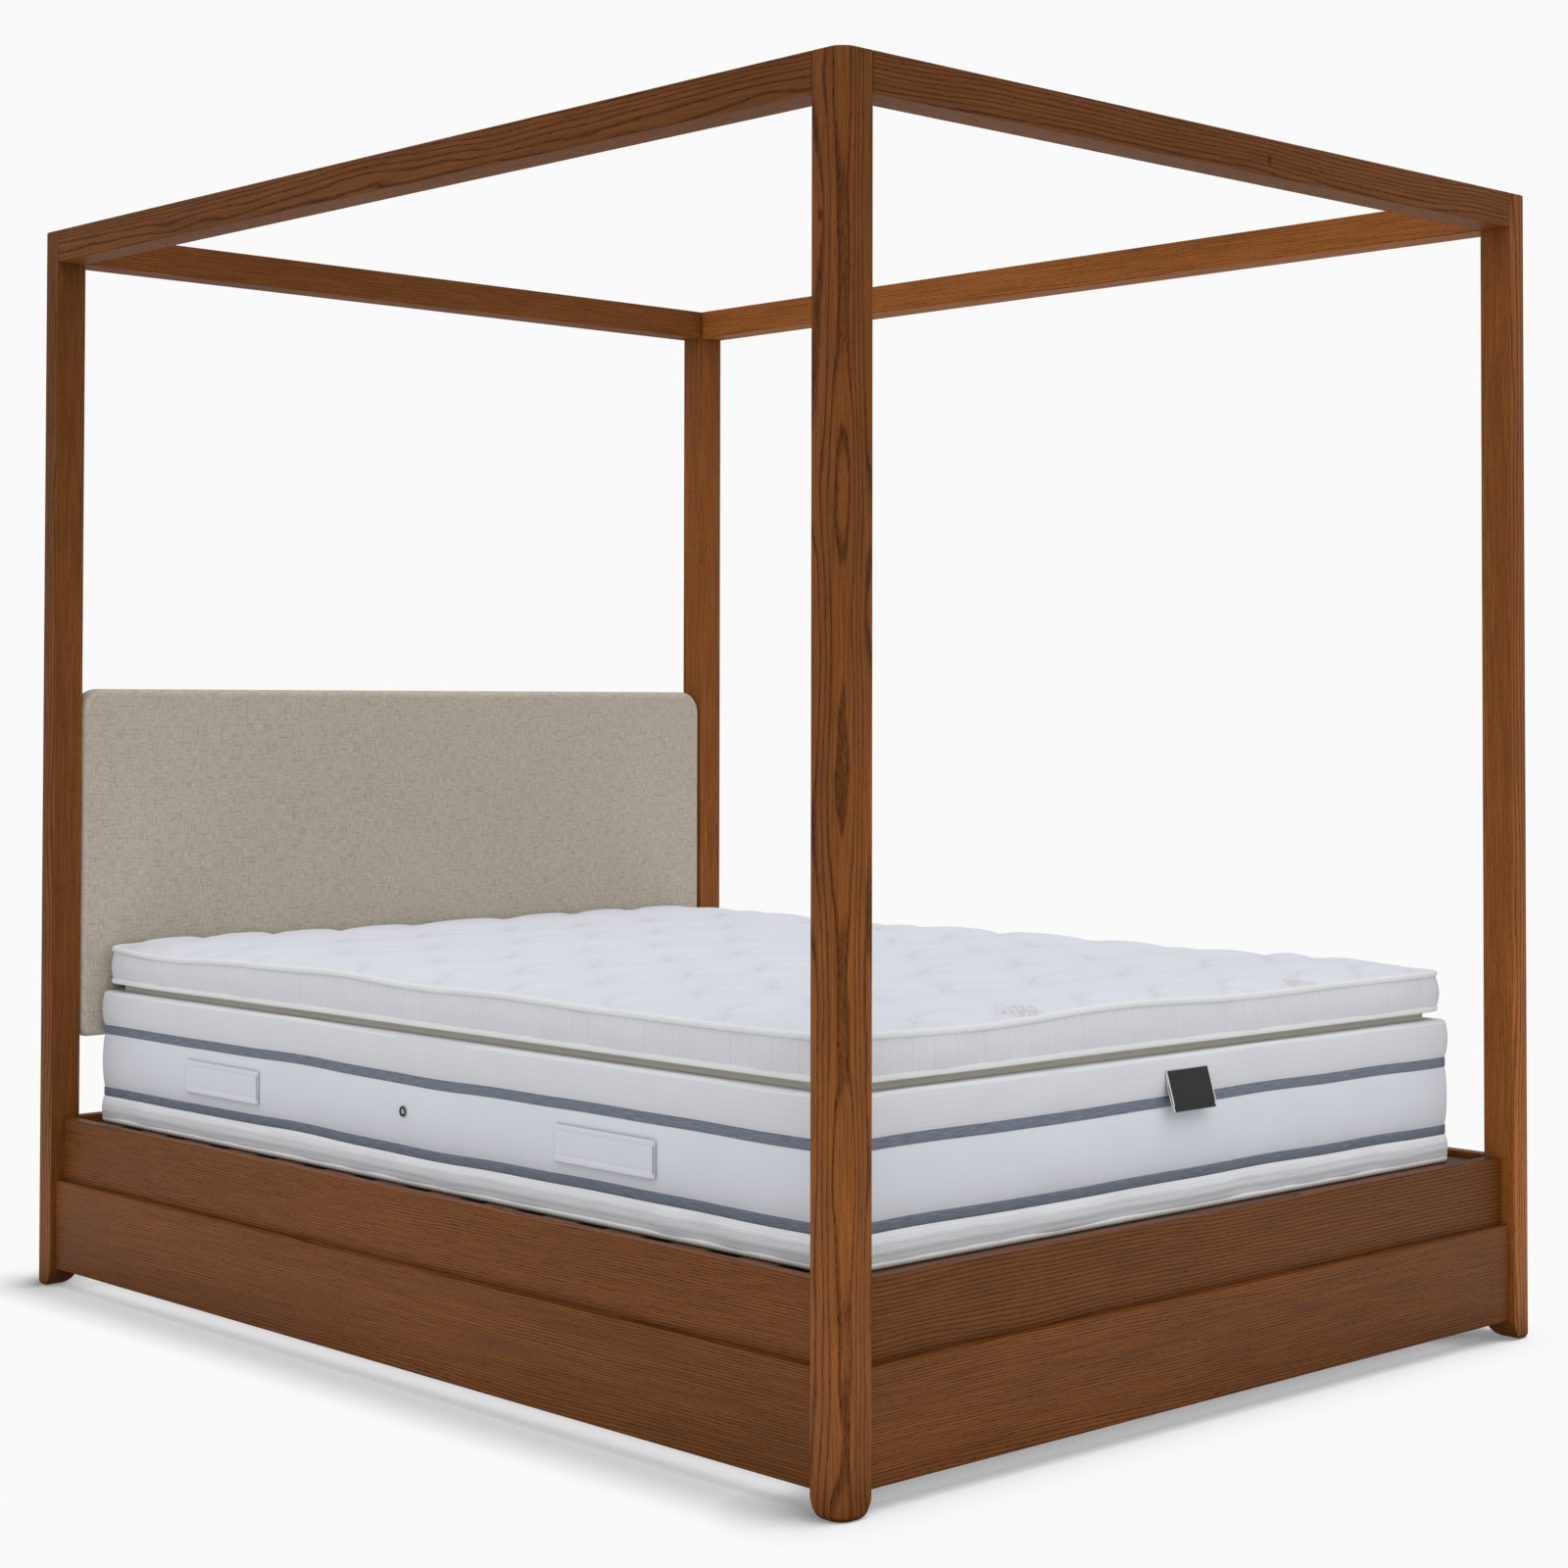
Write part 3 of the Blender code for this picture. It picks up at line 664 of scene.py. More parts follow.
def loft(name, outline, points, climb, closed=True, tube=False):
    """A wall carried round an outline. climb is each row's place up the cloth, for its map.

    closed caps the first and last rows; tube joins the last row to the first instead.
    """
    around, rows = points.shape[:2]
    first = np.arange(around)[:, None]
    after = (first + 1) % around
    last = rows if tube else rows - 1
    row = np.arange(last)[None, :]
    above = (row + 1) % rows
    corners = [first * rows + row, after * rows + row, after * rows + above, first * rows + above]
    quads = np.stack([np.broadcast_to(corner, (around, last)) for corner in corners], axis=-1)
    along = np.append(outline.along, outline.total)
    climb = np.append(climb, climb[-1] + climb[1] - climb[0]) if tube else climb
    left, right = along[:-1, None], along[1:, None]
    below, top = climb[None, :last], climb[None, 1 : last + 1]
    pairs = [(left, below), (right, below), (right, top), (left, top)]
    uvs = [np.stack(np.broadcast_arrays(u, v), axis=-1) for u, v in pairs]
    uvs = np.stack(uvs, axis=2).reshape(-1, 2)
    faces = quads.reshape(-1, 4).tolist()
    if closed:
        faces.append((np.arange(around) * rows)[::-1].tolist())
        faces.append((np.arange(around) * rows + rows - 1).tolist())
        plan = points[:, 0, :2][::-1], points[:, -1, :2]
        uvs = np.concatenate([uvs, *plan])
    return put_mesh(name, points, faces, uvs)


def tube_rows(radius, sides):
    """A round section, anticlockwise seen along the outline, as offsets and heights about its centre."""
    angle = np.arange(sides) * math.tau / sides
    return radius * np.cos(angle), radius * np.sin(angle)


def head_on(outline):
    """1 where the outline faces the headboard, falling to 0 round the corners as the fourth power."""
    return np.maximum(outline.normal[:, 1], 0.0) ** 4


def piping(name, outline, radius, inset, height, swing, sides=12):
    """A bound edge that follows the outline, its height swinging with the mattress's own waves."""
    across, up = tube_rows(radius, sides)
    lift = (height + swing)[:, None]
    points = outline.surface(across[None, :] - inset + np.zeros_like(lift), up[None, :] + lift)
    return loft(name, outline, points, np.arange(sides) * math.tau * radius / sides, False, True)


def pillow(name, half, radii, step, rim, face, place):
    """A padded form: a gridded face, a wall of rim rows and a gridded flat back, all one closed skin.

    The face is a rectangle whose corner squares are pulled into quarter discs, a point (p, q) of the
    square going to (p sqrt(1 - q^2 / 2r^2), q sqrt(1 - p^2 / 2r^2)). radii gives the corner radius at the
    low and the high end of the second direction. face(a, b, inward) is the face's height, rim(a, b,
    along) gives the wall's outward offsets and heights from face to back, and place turns a, b and
    height into the bed's frame.
    """
    count = [int(2 * size / step) for size in half]
    a, b = np.meshgrid(*(np.linspace(-h, h, n + 1) for h, n in zip(half, count)), indexing="ij")
    radius = np.where(b > 0, radii[1], radii[0])
    p = np.maximum(np.abs(a) - half[0] + radius, 0.0)
    q = np.maximum(np.abs(b) - half[1] + radius, 0.0)
    out_a = np.sign(a) * (np.minimum(np.abs(a), half[0] - radius) + p * np.sqrt(1 - q**2 / (2 * radius**2)))
    out_b = np.sign(b) * (np.minimum(np.abs(b), half[1] - radius) + q * np.sqrt(1 - p**2 / (2 * radius**2)))
    over = np.stack([np.abs(out_a) - half[0] + radius, np.abs(out_b) - half[1] + radius])
    outside = np.hypot(*np.maximum(over, 0.0)) + np.minimum(over.max(axis=0), 0.0)
    inward = np.maximum(radius - outside, 0.0)

    rows, columns = a.shape
    index = np.arange(rows * columns).reshape(rows, columns)
    sides = (index[:-1, 0], index[-1, :-1], index[:0:-1, -1], index[0, :0:-1])
    loop = np.concatenate(sides)
    edge_a, edge_b = out_a.ravel()[loop], out_b.ravel()[loop]
    ahead = np.stack([np.roll(edge_a, -1) - np.roll(edge_a, 1), np.roll(edge_b, -1) - np.roll(edge_b, 1)])
    ahead /= np.hypot(*ahead)
    normal = np.stack([ahead[1], -ahead[0]])
    strides = np.hypot(np.diff(edge_a, append=edge_a[0]), np.diff(edge_b, append=edge_b[0]))
    along = np.concatenate([[0.0], np.cumsum(strides)])

    offsets, heights = rim(edge_a, edge_b, along[:-1])
    wall_a = edge_a[None, :] + offsets * normal[0]
    wall_b = edge_b[None, :] + offsets * normal[1]
    back_a, back_b = out_a.copy(), out_b.copy()
    back_a.ravel()[loop] = wall_a[-1]
    back_b.ravel()[loop] = wall_b[-1]
    back_height = np.full(a.shape, heights[-1].mean())
    back_height.ravel()[loop] = heights[-1]

    front = np.stack([out_a, out_b, face(out_a, out_b, inward)], axis=-1).reshape(-1, 3)
    wall = np.stack([wall_a[:-1], wall_b[:-1], heights[:-1]], axis=-1).reshape(-1, 3)
    back = np.stack([back_a, back_b, back_height], axis=-1).reshape(-1, 3)
    points = np.concatenate([front, wall, back])

    corners = [index[:-1, :-1], index[1:, :-1], index[1:, 1:], index[:-1, 1:]]
    grid = np.stack(corners, axis=-1).reshape(-1, 4)
    between = len(front) + np.arange(len(wall)).reshape(-1, len(loop))
    back_start = len(front) + len(wall)
    rings = np.concatenate([loop[None], between, (loop + back_start)[None]])
    upper, lower = rings[:-1], rings[1:]
    walls = np.stack([lower, np.roll(lower, -1, 1), np.roll(upper, -1, 1), upper], axis=-1).reshape(-1, 4)
    faces = np.concatenate([grid, walls, grid[:, ::-1] + back_start])

    face_uv = points[:, :2][grid].reshape(-1, 2)
    falls = np.abs(np.diff(heights.mean(axis=1), prepend=heights[0].mean()))
    drop = np.concatenate([[0.0], -falls.cumsum()])[: len(rings)]
    u0 = np.broadcast_to(along[:-1], upper.shape)
    u1 = np.broadcast_to(along[1:], upper.shape)
    v0 = np.broadcast_to(drop[:-1, None], upper.shape)
    v1 = np.broadcast_to(drop[1:, None], upper.shape)
    wall_uv = np.stack([u0, v1, u1, v1, u1, v0, u0, v0], axis=-1).reshape(-1, 2)
    back_uv = points[:, :2][grid[:, ::-1]].reshape(-1, 2)
    uvs = np.concatenate([face_uv, wall_uv, back_uv])
    made = put_mesh(name, place(points), faces.tolist(), uvs)
    return made, len(grid), len(walls), rings, (edge_a, edge_b, along[:-1])


def swell(piece, held, pressure, limit):
    """Cloth simulation under inner pressure, with the held points sewn down, written into the mesh.

    Each point's travel is kept under the limit.
    """
    count = len(piece.data.vertices)
    before = np.empty(count * 3)
    piece.data.vertices.foreach_get("co", before)
    sewn = piece.vertex_groups.new(name="sewn")
    sewn.add([int(point) for point in held], 1.0, "REPLACE")
    cloth_sim = piece.modifiers.new("swell", "CLOTH")
    settings = cloth_sim.settings
    settings.quality = 3
    settings.mass = 0.25
    settings.tension_stiffness = 12.0
    settings.compression_stiffness = 4.0
    settings.shear_stiffness = 4.0
    settings.bending_stiffness = 0.3
    settings.use_pressure = True
    settings.uniform_pressure_force = pressure
    settings.vertex_group_mass = "sewn"
    settings.effector_weights.gravity = 0.0
    cloth_sim.collision_settings.use_collision = False
    scene = bpy.context.scene
    for step in range(1, SWELL_FRAMES + 1):
        scene.frame_set(step)
    seen = piece.evaluated_get(bpy.context.evaluated_depsgraph_get()).to_mesh()
    after = np.empty(count * 3)
    seen.vertices.foreach_get("co", after)
    travel = (after - before).reshape(-1, 3)
    size = np.maximum(np.linalg.norm(travel, axis=1, keepdims=True), 1e-9)
    travel *= np.minimum(size, limit) / size
    piece.modifiers.remove(cloth_sim)
    piece.vertex_groups.clear()
    scene.frame_set(1)
    piece.data.vertices.foreach_set("co", (before.reshape(-1, 3) + travel).ravel())
    piece.data.update()


def dress(piece, body, slot, *materials):
    """Give a new piece its materials and its body. The slot is not used."""
    for material in materials:
        piece.data.materials.append(material)
    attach(piece, body)
    return piece


# Operators


class CANOPYBED_OT_oak(Operator):
    """Stain and lacquer the posts, rails and boards, each with its own grain"""

    bl_idname = "canopybed.oak"
    bl_label = "Finish Oak"

    def execute(self, context):
        oak = context.scene.canopy_bed_oak
        colours = (oak.light, oak.dark, oak.pore)
        knots = {"foot_left_post": (-0.8500, -1.0380, 1.762), "foot_top_rail": (0.10, -1.080, 1.955)}
        draw = np.random.default_rng(11)
        for way, names in (("upright", POSTS), ("side", SIDE_OAK), ("end", END_OAK)):
            for name in names:
                pith = self.heart(name, way, draw)
                tint = OAK_TINTS.get(name, 1.0)
                stains = [[channel * tint for channel in colour] for colour in colours]
                ring = oak.ring * (1.4 if name == "foot_board" else 1.0)
                grown = (ring, oak.figure, 1.0)
                sawn = ("oak_" + name, name, way, pith, stains)
                finish_node(name, timber(*sawn, grown, 0.45, 0.10, knots.get(name)))
        return {"FINISHED"}

    def heart(self, name, way, draw):
        """Where a piece lay in its tree: square pieces near the heart, boards well out beside it."""
        low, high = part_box(name)
        if name.endswith(("post", "top_rail")):
            inward = turned([math.copysign(1.0, -a - b) for a, b in zip(low, high)], way)
            depth = 0.030 + 0.012 * draw.random()
            sideways = [-inward[axis] * depth + 0.020 * (draw.random() - 0.5) for axis in (0, 1)]
        else:
            across = 0.045 + 0.03 * draw.random()
            below = -0.150 - 0.05 * draw.random()
            sideways = (below, across) if way == "end" else (across, below)
        return (*sideways, 6.0 * draw.random())


class CANOPYBED_OT_base(Operator):
    """Finish the slatted base in a dark colour that is painted shade for the gap under the mattress, and
    its metalwork and the headboard's plywood
    """

    bl_idname = "canopybed.base"
    bl_label = "Finish Base"

    def execute(self, context):
        # The pine's dark colour is painted shade: it stands in for the shade in the gap under the mattress
        stains = ((0.10, 0.055, 0.029), (0.07, 0.036, 0.018), (0.04, 0.02, 0.01))
        draw = np.random.default_rng(23)
        for way, names in (("upright", UPRIGHT_PINE), ("side", SIDE_PINE), ("end", END_PINE)):
            for name in names:
                pith = (0.03 * draw.random(), 0.05 + 0.03 * draw.random(), 5.0 * draw.random())
                sawn = ("pine_" + name, name, way, pith, stains)
                finish_node(name, timber(*sawn, (0.006, 0.03, 0.25), 0.6, 0.2))
        plated = metal("zinc_plate", (0.55, 0.56, 0.57), 0.34, 900.0)
        for name in STEEL:
            finish_node(name, plated)
        self.nylon()
        self.plywood()
        return {"FINISHED"}

    def nylon(self):
        material, tree, shader = new_material("glide_nylon", 0.5)
        place = tree.place()
        speck = tree.noise(place, (1500.0, 1500.0, 1500.0), 2.0)
        colour = tree.mix(speck, solid((0.02, 0.02, 0.02)), solid((0.035, 0.035, 0.035)))
        tree.paint(shader, colour)
        tree.feed(shader.inputs["Normal"], tree.bump(speck, 0.00008, 0.5))
        finish_node("centre_leg_glide", material)

    def plywood(self):
        """Birch plywood: pale figured faces, and alternate dark and light plies on the edges."""
        pale = ((0.56, 0.42, 0.26), (0.49, 0.35, 0.20), (0.42, 0.29, 0.16))
        node = "headboard_core"
        sheet = ("birch_plywood", node, "end", (0.0, 0.16, 1.0), pale)
        material = timber(*sheet, (0.012, 0.09, 0.3), 0.6, 0.3)
        tree, shader, face = reopened(material)
        place = tree.place()
        ply = tree.times(tree.parts(place)[1], math.tau / 0.0032)
        band = tree.band(tree.math("SINE", ply), -0.3, 0.3)
        edge = tree.mix(band, solid((0.36, 0.24, 0.13)), solid((0.60, 0.46, 0.30)))
        facing = tree.parts(tree.add("ShaderNodeNewGeometry").outputs["True Normal"])
        sideways = tree.band(tree.math("ABSOLUTE", facing[1]), 0.4, 0.6)
        tree.paint(shader, tree.mix(sideways, edge, face))
        finish_node(node, material)


class CANOPYBED_OT_headboard(Operator):
    """Make the padded linen headboard"""

    bl_idname = "canopybed.headboard"
    bl_label = "Make Headboard"

    def execute(self, context):
        cloths = context.scene.canopy_bed_cloth
        low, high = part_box("headboard_padding")
        middle = middle_of(low, high, (0, 2))
        thick = high[1] - low[1]
        roll = HEADBOARD_ROLL
        inset = [size - roll for size in half_of(low, high, (0, 2))]

        def face(a, b, inward):
            """A flat pad that crowns by 2 mm within a hand's width of its rolled edge."""
            soft = 0.0006 * ripple(a, b, 5, 0.18, 0.7)
            crown = thick - CROWN_DROP * np.exp(-inward / 0.05)
            return crown + soft * (1 - np.exp(-inward / 0.06))

        def rim(a, b, along):
            """A quarter round out to the side, then straight to the back."""
            turn = np.linspace(0, math.pi / 2, 9)[1:]
            out = np.append(roll * np.sin(turn), [roll, roll])
            up = np.append(thick - CROWN_DROP - roll * (1 - np.cos(turn)), [thick * 0.25, 0.0])
            return np.repeat(out[:, None], len(a), 1), np.repeat(up[:, None], len(a), 1)

        def place(points):
            a, b, up = points.T
            return np.stack([middle[0] + a, high[1] - up, middle[1] + b], axis=-1)

        radii = (HEADBOARD_SQUARE, HEADBOARD_ROUND - roll)
        made = pillow("headboard_pad", inset, radii, HEADBOARD_STEP, rim, face, place)[0]
        dress(made, "frame", "linen", self.linen(cloths.linen))
        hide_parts("headboard_padding")
        return {"FINISHED"}

    def linen(self, colour):
        """Mixed-thread linen: pale and dark flecks along both thread directions."""
        material, tree, shader, made, source = cloth("oatmeal_linen", colour, 800.0, 0.62, 1.1, 0.95, 0.1)
        fleck = tree.noise(source, (28.0, 220.0, 1.0), 2.0)
        other = tree.noise(source, (240.0, 30.0, 1.0), 2.0)
        dark = tree.math("MAXIMUM", tree.band(fleck, 0.57, 0.68), tree.band(other, 0.57, 0.68))
        shaded = tree.mix(tree.times(dark, 0.26), made["Color"], solid((0.20, 0.17, 0.14)))
        tree.paint(shader, shaded)
        return material


class CANOPYBED_OT_core(Operator):
    """Make the mattress core: banded sides, grey tapes and bound edges"""

    bl_idname = "canopybed.core"
    bl_label = "Make Mattress Core"

    def execute(self, context):
        cloths = context.scene.canopy_bed_cloth
        low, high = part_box("mattress_core")
        outline = Outline(low, high, EDGE_IN, CORE_ROUND - EDGE_IN, CORE_STEP)
        tall = high[2] - low[2]
        wave = ripple(outline.edge[:, 0], outline.edge[:, 1], 3, 0.22, 1.3)
        self.cover(outline, low[2], tall, wave, cloths)
        bound = cloth("bound_edge", cloths.piping, 600.0, 0.06, 0.5)[0]
        hem = cloth("bound_hem", cloths.hem, 600.0, 0.06, 0.5)[0]
        for label, radius, share in CORE_PIPES:
            level = low[2] + radius if label == "low" else high[2] - radius
            swing = 0.0009 * share * wave
            inset = 0.0018 + 0.0036 * head_on(outline)[:, None]
            made = piping("mattress_core_piping_" + label, outline, radius, inset, level, swing)
            dress(made, "mattress", "piping", hem if label == "low" else bound)
        ribbon = tape_material(cloths.tape)
        for label, level in zip(("low", "high"), TAPE_LEVELS):
            self.tape("mattress_tape_" + label, outline, low[2] + level, wave, ribbon)
        return {"FINISHED"}

    def cover(self, outline, floor, tall, wave, cloths):
        """Sides that bulge between seams by a root of a sine, with ribs in the outer bands."""
        half = TAPE_TALL / 2
        tapes = [level + side for level in TAPE_LEVELS for side in (-half, half)]
        seams = np.array([0.0, *tapes, tall])
        swells = np.array([0.0058, 0.0, 0.0046, 0.0, 0.0062])
        climb = np.linspace(0.002, tall - 0.002, CORE_ROWS)
        strip = np.clip(np.searchsorted(seams, climb, "right") - 1, 0, 4)
        within = (climb - seams[strip]) / (seams[strip + 1] - seams[strip])
        bulge = swells[strip] * np.sqrt(np.sin(math.pi * np.clip(within, 0.0, 1.0)))
        x, y = outline.edge.T
        bands = np.isin(strip, (0, 2, 4))
        free = 1 - HEAD_PRESS * head_on(outline)[:, None]
        soft = ripple(x, y, 8, 0.07, 0.4)[:, None] * (0.0009 * bands * np.sin(math.pi * within))[None, :]
        drift = 0.35 * ripple(x, y, 9, 0.15, 0.8)[:, None]
        rib = np.where(strip == 0, 0.00045, np.where(strip == 4, 0.00012, 0.0)) * np.sin(math.pi * within)
        rib = rib[None, :] * np.cos(math.tau * climb[None, :] / RIB_PITCH + drift)
        offsets = (bulge[None, :] + rib + soft) * free
        lift = SEAM_WAVE * wave[:, None] * np.sin(math.pi * climb / tall)[None, :] * 0.8
        inner = np.full((len(x), 1), -0.014)
        flat = np.zeros((len(x), 1))
        offsets = np.concatenate([inner, flat - 0.003, offsets, flat - 0.003, inner], axis=1)
        heights = np.concatenate([flat, flat, climb[None, :] + lift, flat + tall, flat + tall], axis=1)
        rows = np.concatenate([[-0.011, 0.0], climb, [tall, tall + 0.011]])
        made = loft("mattress_core_cover", outline, outline.surface(offsets, heights + floor), rows)
        bands = (
            ribbed_knit("knit_lower_band", cloths.lower, RIB_PITCH, 1, 0.0004, 210.0, 0.965),
            ribbed_knit("knit_middle_band", cloths.ticking, 0.0046, 0, 0.0002, 0.0, 0.985),
            ribbed_knit("knit_upper_band", cloths.boxing, 0.0120, 1, 0.00015, 0.0, 0.992),
        )
        dress(made, "mattress", "ticking", *bands)
        middle = (rows[:-1] + rows[1:]) / 2
        kinds = np.where(middle < TAPE_LEVELS[0], 0, np.where(middle < TAPE_LEVELS[1], 1, 2))
        kinds = np.append(np.tile(kinds, len(x)), [0, 2]).astype(np.int32)
        made.data.polygons.foreach_set("material_index", kinds)
        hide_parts("mattress_core")

    def tape(self, name, outline, level, wave, ribbon):
        """A flat ribbon with eased edges, sewn into the groove between two bands."""
        half = TAPE_TALL / 2
        rise = np.array([-0.0020, TAPE_PROUD, TAPE_PROUD + 0.0006])
        offsets = np.concatenate([rise, rise[::-1]])
        eased = np.array([0.0, 0.0004, 0.003]) - half
        heights = np.concatenate([eased, -eased[::-1]])
        lift = level + SEAM_WAVE * wave[:, None]
        points = outline.surface(offsets, heights[None, :] + lift)
        dress(loft(name, outline, points, heights + half, False, True), "mattress", "grey_tape", ribbon)


class CANOPYBED_OT_neck(Operator):
    """Make the recessed calico neck between core and topper"""

    bl_idname = "canopybed.neck"
    bl_label = "Make Neck"

    def execute(self, context):
        cloths = context.scene.canopy_bed_cloth
        low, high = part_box("mattress_neck")
        outline = Outline(low, high, 0.0, NECK_ROUND, 0.006)
        tall = high[2] - low[2]
        climb = np.linspace(0.0, tall, 7)
        x, y = outline.edge.T
        gather = ripple(x, y, 14, 0.02, 0.12)[:, None] * 0.0008 * np.sin(math.pi * climb / tall)[None, :]
        offsets = -0.003 * np.sin(math.pi * climb / tall)[None, :] + gather
        made = loft("mattress_neck_cloth", outline, outline.surface(offsets, climb + low[2]), climb)
        calico = cloth("neck_calico", cloths.neck, 650.0, 0.12, 0.5)[0]
        dress(made, "mattress", "neck_cloth", calico)
        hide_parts("mattress_neck")
        return {"FINISHED"}


class CANOPYBED_OT_topper(Operator):
    """Make the quilted pillow top with its piped, puckered side"""

    bl_idname = "canopybed.topper"
    bl_label = "Make Topper"

    def execute(self, context):
        cloths = context.scene.canopy_bed_cloth
        low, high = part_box("mattress_topper")
        middle = middle_of(low, high, (0, 1))
        half = [size - EDGE_IN for size in half_of(low, high, (0, 1))]
        tall = high[2] - low[2]

        def sway(a, b):
            return 0.0030 * ripple(a, b, 21, 0.30, 1.4)

        def face(a, b, inward):
            """A crown that rises steeply from the piping, less the quilting's sewn lines."""
            rise = tall - TOPPER_PIPE_HIGH - 0.004
            crown = TOPPER_PIPE_HIGH + rise * (1 - np.exp(-inward / 0.026))
            sewn = cloths.quilting * self.furrow(a, b) * (1 - np.exp(-inward / 0.014))
            return crown - sewn + sway(a, b) * np.exp(-inward / 0.12)

        def rim(a, b, along):
            """A side that bulges by a sine between its pipings, tucked every few centimetres."""
            share = np.linspace(0.0, 1.0, 12)[1:, None]
            tuck = np.exp(-((self.tucks(a, b, along) / 0.006) ** 2))
            swell_out = 0.0085 + 0.0015 * ripple(a, b, 33, 0.08, 0.3)
            body = np.sin(math.pi * share) ** 0.8
            out = body * (swell_out - cloths.puckers * tuck)[None, :]
            up = TOPPER_PIPE_HIGH * (1 - share) + sway(a, b)[None, :] * (1 - share)
            return out, np.maximum(up, 0.0)

        def place(points):
            a, b, up = points.T
            return np.stack([middle[0] + a, middle[1] + b, low[2] + up], axis=-1)

        radius = TOPPER_ROUND - EDGE_IN
        made, panels, walls, rings, loop = pillow(
            "mattress_topper_pad", half, (radius, radius), TOPPER_STEP, rim, face, place
        )
        x, y = coordinates(made)[:2]
        where = (x - middle[0], y - middle[1])
        for label, sign in (("sewn_out", 1.0), ("sewn_back", -1.0)):
            field = self.sewn(*where, sign)
            field[rings[1:]] = self.tucks(*loop) if sign > 0 else 1.0
            put_field(made, label, field)
        self.simulate(made, rings, where)
        dress(made, "mattress", "ticking", self.quilted_knit(cloths), self.boxing_knit(cloths))
        kinds = np.concatenate([np.zeros(panels), np.ones(walls), np.zeros(panels)]).astype(np.int32)
        made.data.polygons.foreach_set("material_index", kinds)
        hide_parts("mattress_topper")
        bound = cloth("topper_bound_edge", cloths.piping, 600.0, 0.06, 0.5)[0]
        outline = Outline(low, high, EDGE_IN, radius, 0.006)
        x, y = outline.edge.T - np.array(middle)[:, None]
        for label, thickness, share in TOPPER_PIPES:
            level = low[2] + (TOPPER_PIPE_LOW if label == "low" else TOPPER_PIPE_HIGH)
            swing = share * sway(x, y)
            pipe = piping("topper_piping_" + label, outline, thickness, -0.0010, level, swing)
            dress(pipe, "mattress", "piping", bound)
        return {"FINISHED"}

    def tucks(self, a, b, along):
        """Signed distance to the nearest upright tuck of the side, as a sine of the tuck's number."""
        number = along / TUCK_SPACING + 0.30 * ripple(a, b, 31, 0.25, 0.8)
        return np.sin(math.pi * number) * TUCK_SPACING / math.pi

    def sewn(self, a, b, sign):
        """Signed distance to the nearest sewn line of one family, as a sine of the line's number.

        The lines cross the bed as slow sines; the two families face each other and close to leaves.
        """
        turn = math.tau * a / QUILT_WAVE + 0.5 * ripple(a, b, 41, 0.5, 1.2)
        number = b / QUILT_SPACING - sign * 0.25 * np.sin(turn)
        return np.sin(math.pi * number) * QUILT_SPACING / math.pi

    def furrow(self, a, b):
        """1 on a sewn line and 0 away from it."""
        away = np.minimum(np.abs(self.sewn(a, b, 1.0)), np.abs(self.sewn(a, b, -1.0)))
        return np.exp(-away / 0.026)

    def simulate(self, made, rings, where):
        """Swell the pad, with its pipings, its back and its sewn lines held."""
        held = self.furrow(*where) > SEWN_FROM
        held[rings[-1].min() :] = True
        held[rings[0]] = True
        swell(made, np.flatnonzero(held), SWELL_PRESSURE, SWELL_LIMIT)

    def boxing_knit(self, cloths):
        """White knit with a fine line of painted shade down each tuck and a stripe of painted highlight
        beside it.
        """
        material, tree, shader, made = cloth("knit_boxing", cloths.boxing, 700.0, 0.03, 0.3)[:4]
        tuck = tree.field("sewn_out")
        # Painted shade down the bottom of each tuck, and a painted highlight on one flank
        line = tree.band(tree.math("ABSOLUTE", tuck), 0.0004, 0.0024, 0.95, 1.0)
        beside = tree.math("ABSOLUTE", tree.math("SUBTRACT", tuck, 0.0045))
        tuck_highlight = tree.band(beside, 0.0, 0.0050, 1.02, 1.0)
        shade = tree.times(line, tuck_highlight)
        tree.paint(shader, tree.shaded(made["Color"], shade))
        return material

    def quilted_knit(self, cloths):
        """White knit with a faint dyed oval of dots here and there, and darker sewn lines: a fine dark
        seam, partly the stitch and partly painted shade, in a wider band of painted shade.
        """
        material, tree, shader, made = cloth("knit_quilted", cloths.ticking, 700.0, 0.03, 0.35)[:4]
        place = tree.place()
        colour = made["Color"]
        for spot in ((-0.33, -0.945, 0.0), (0.36, -0.950, 0.0)):
            away = tree.vector("MULTIPLY", tree.vector("SUBTRACT", place, spot), (1.0, 1.1, 0.0))
            patch = tree.band(tree.length(away), 0.030, 0.038, 1.0, 0.0)
            dots = tree.add("ShaderNodeTexVoronoi", {"Vector": place, "Scale": 110.0, "Randomness": 0.8})
            ring = tree.band(dots.outputs["Distance"], 0.30, 0.55, 0.0, 1.0)
            mask = tree.times(tree.times(patch, ring), 0.45)
            colour = tree.mix(mask, colour, solid((0.45, 0.36, 0.38)))
        # Along the sewn lines: a fine dark seam, partly the stitch and partly painted shade, and a wider
        # soft band of painted shade
        for label in ("sewn_out", "sewn_back"):
            sewn = tree.field(label)
            away = tree.math("ABSOLUTE", sewn)
            seam_and_shade = tree.band(away, 0.0004, 0.0022, 0.93, 1.0)
            line = tree.times(seam_and_shade, tree.band(away, 0.0, 0.026, 0.955, 1.0))
            colour = tree.shaded(colour, line)
        tree.paint(shader, colour)
        return material


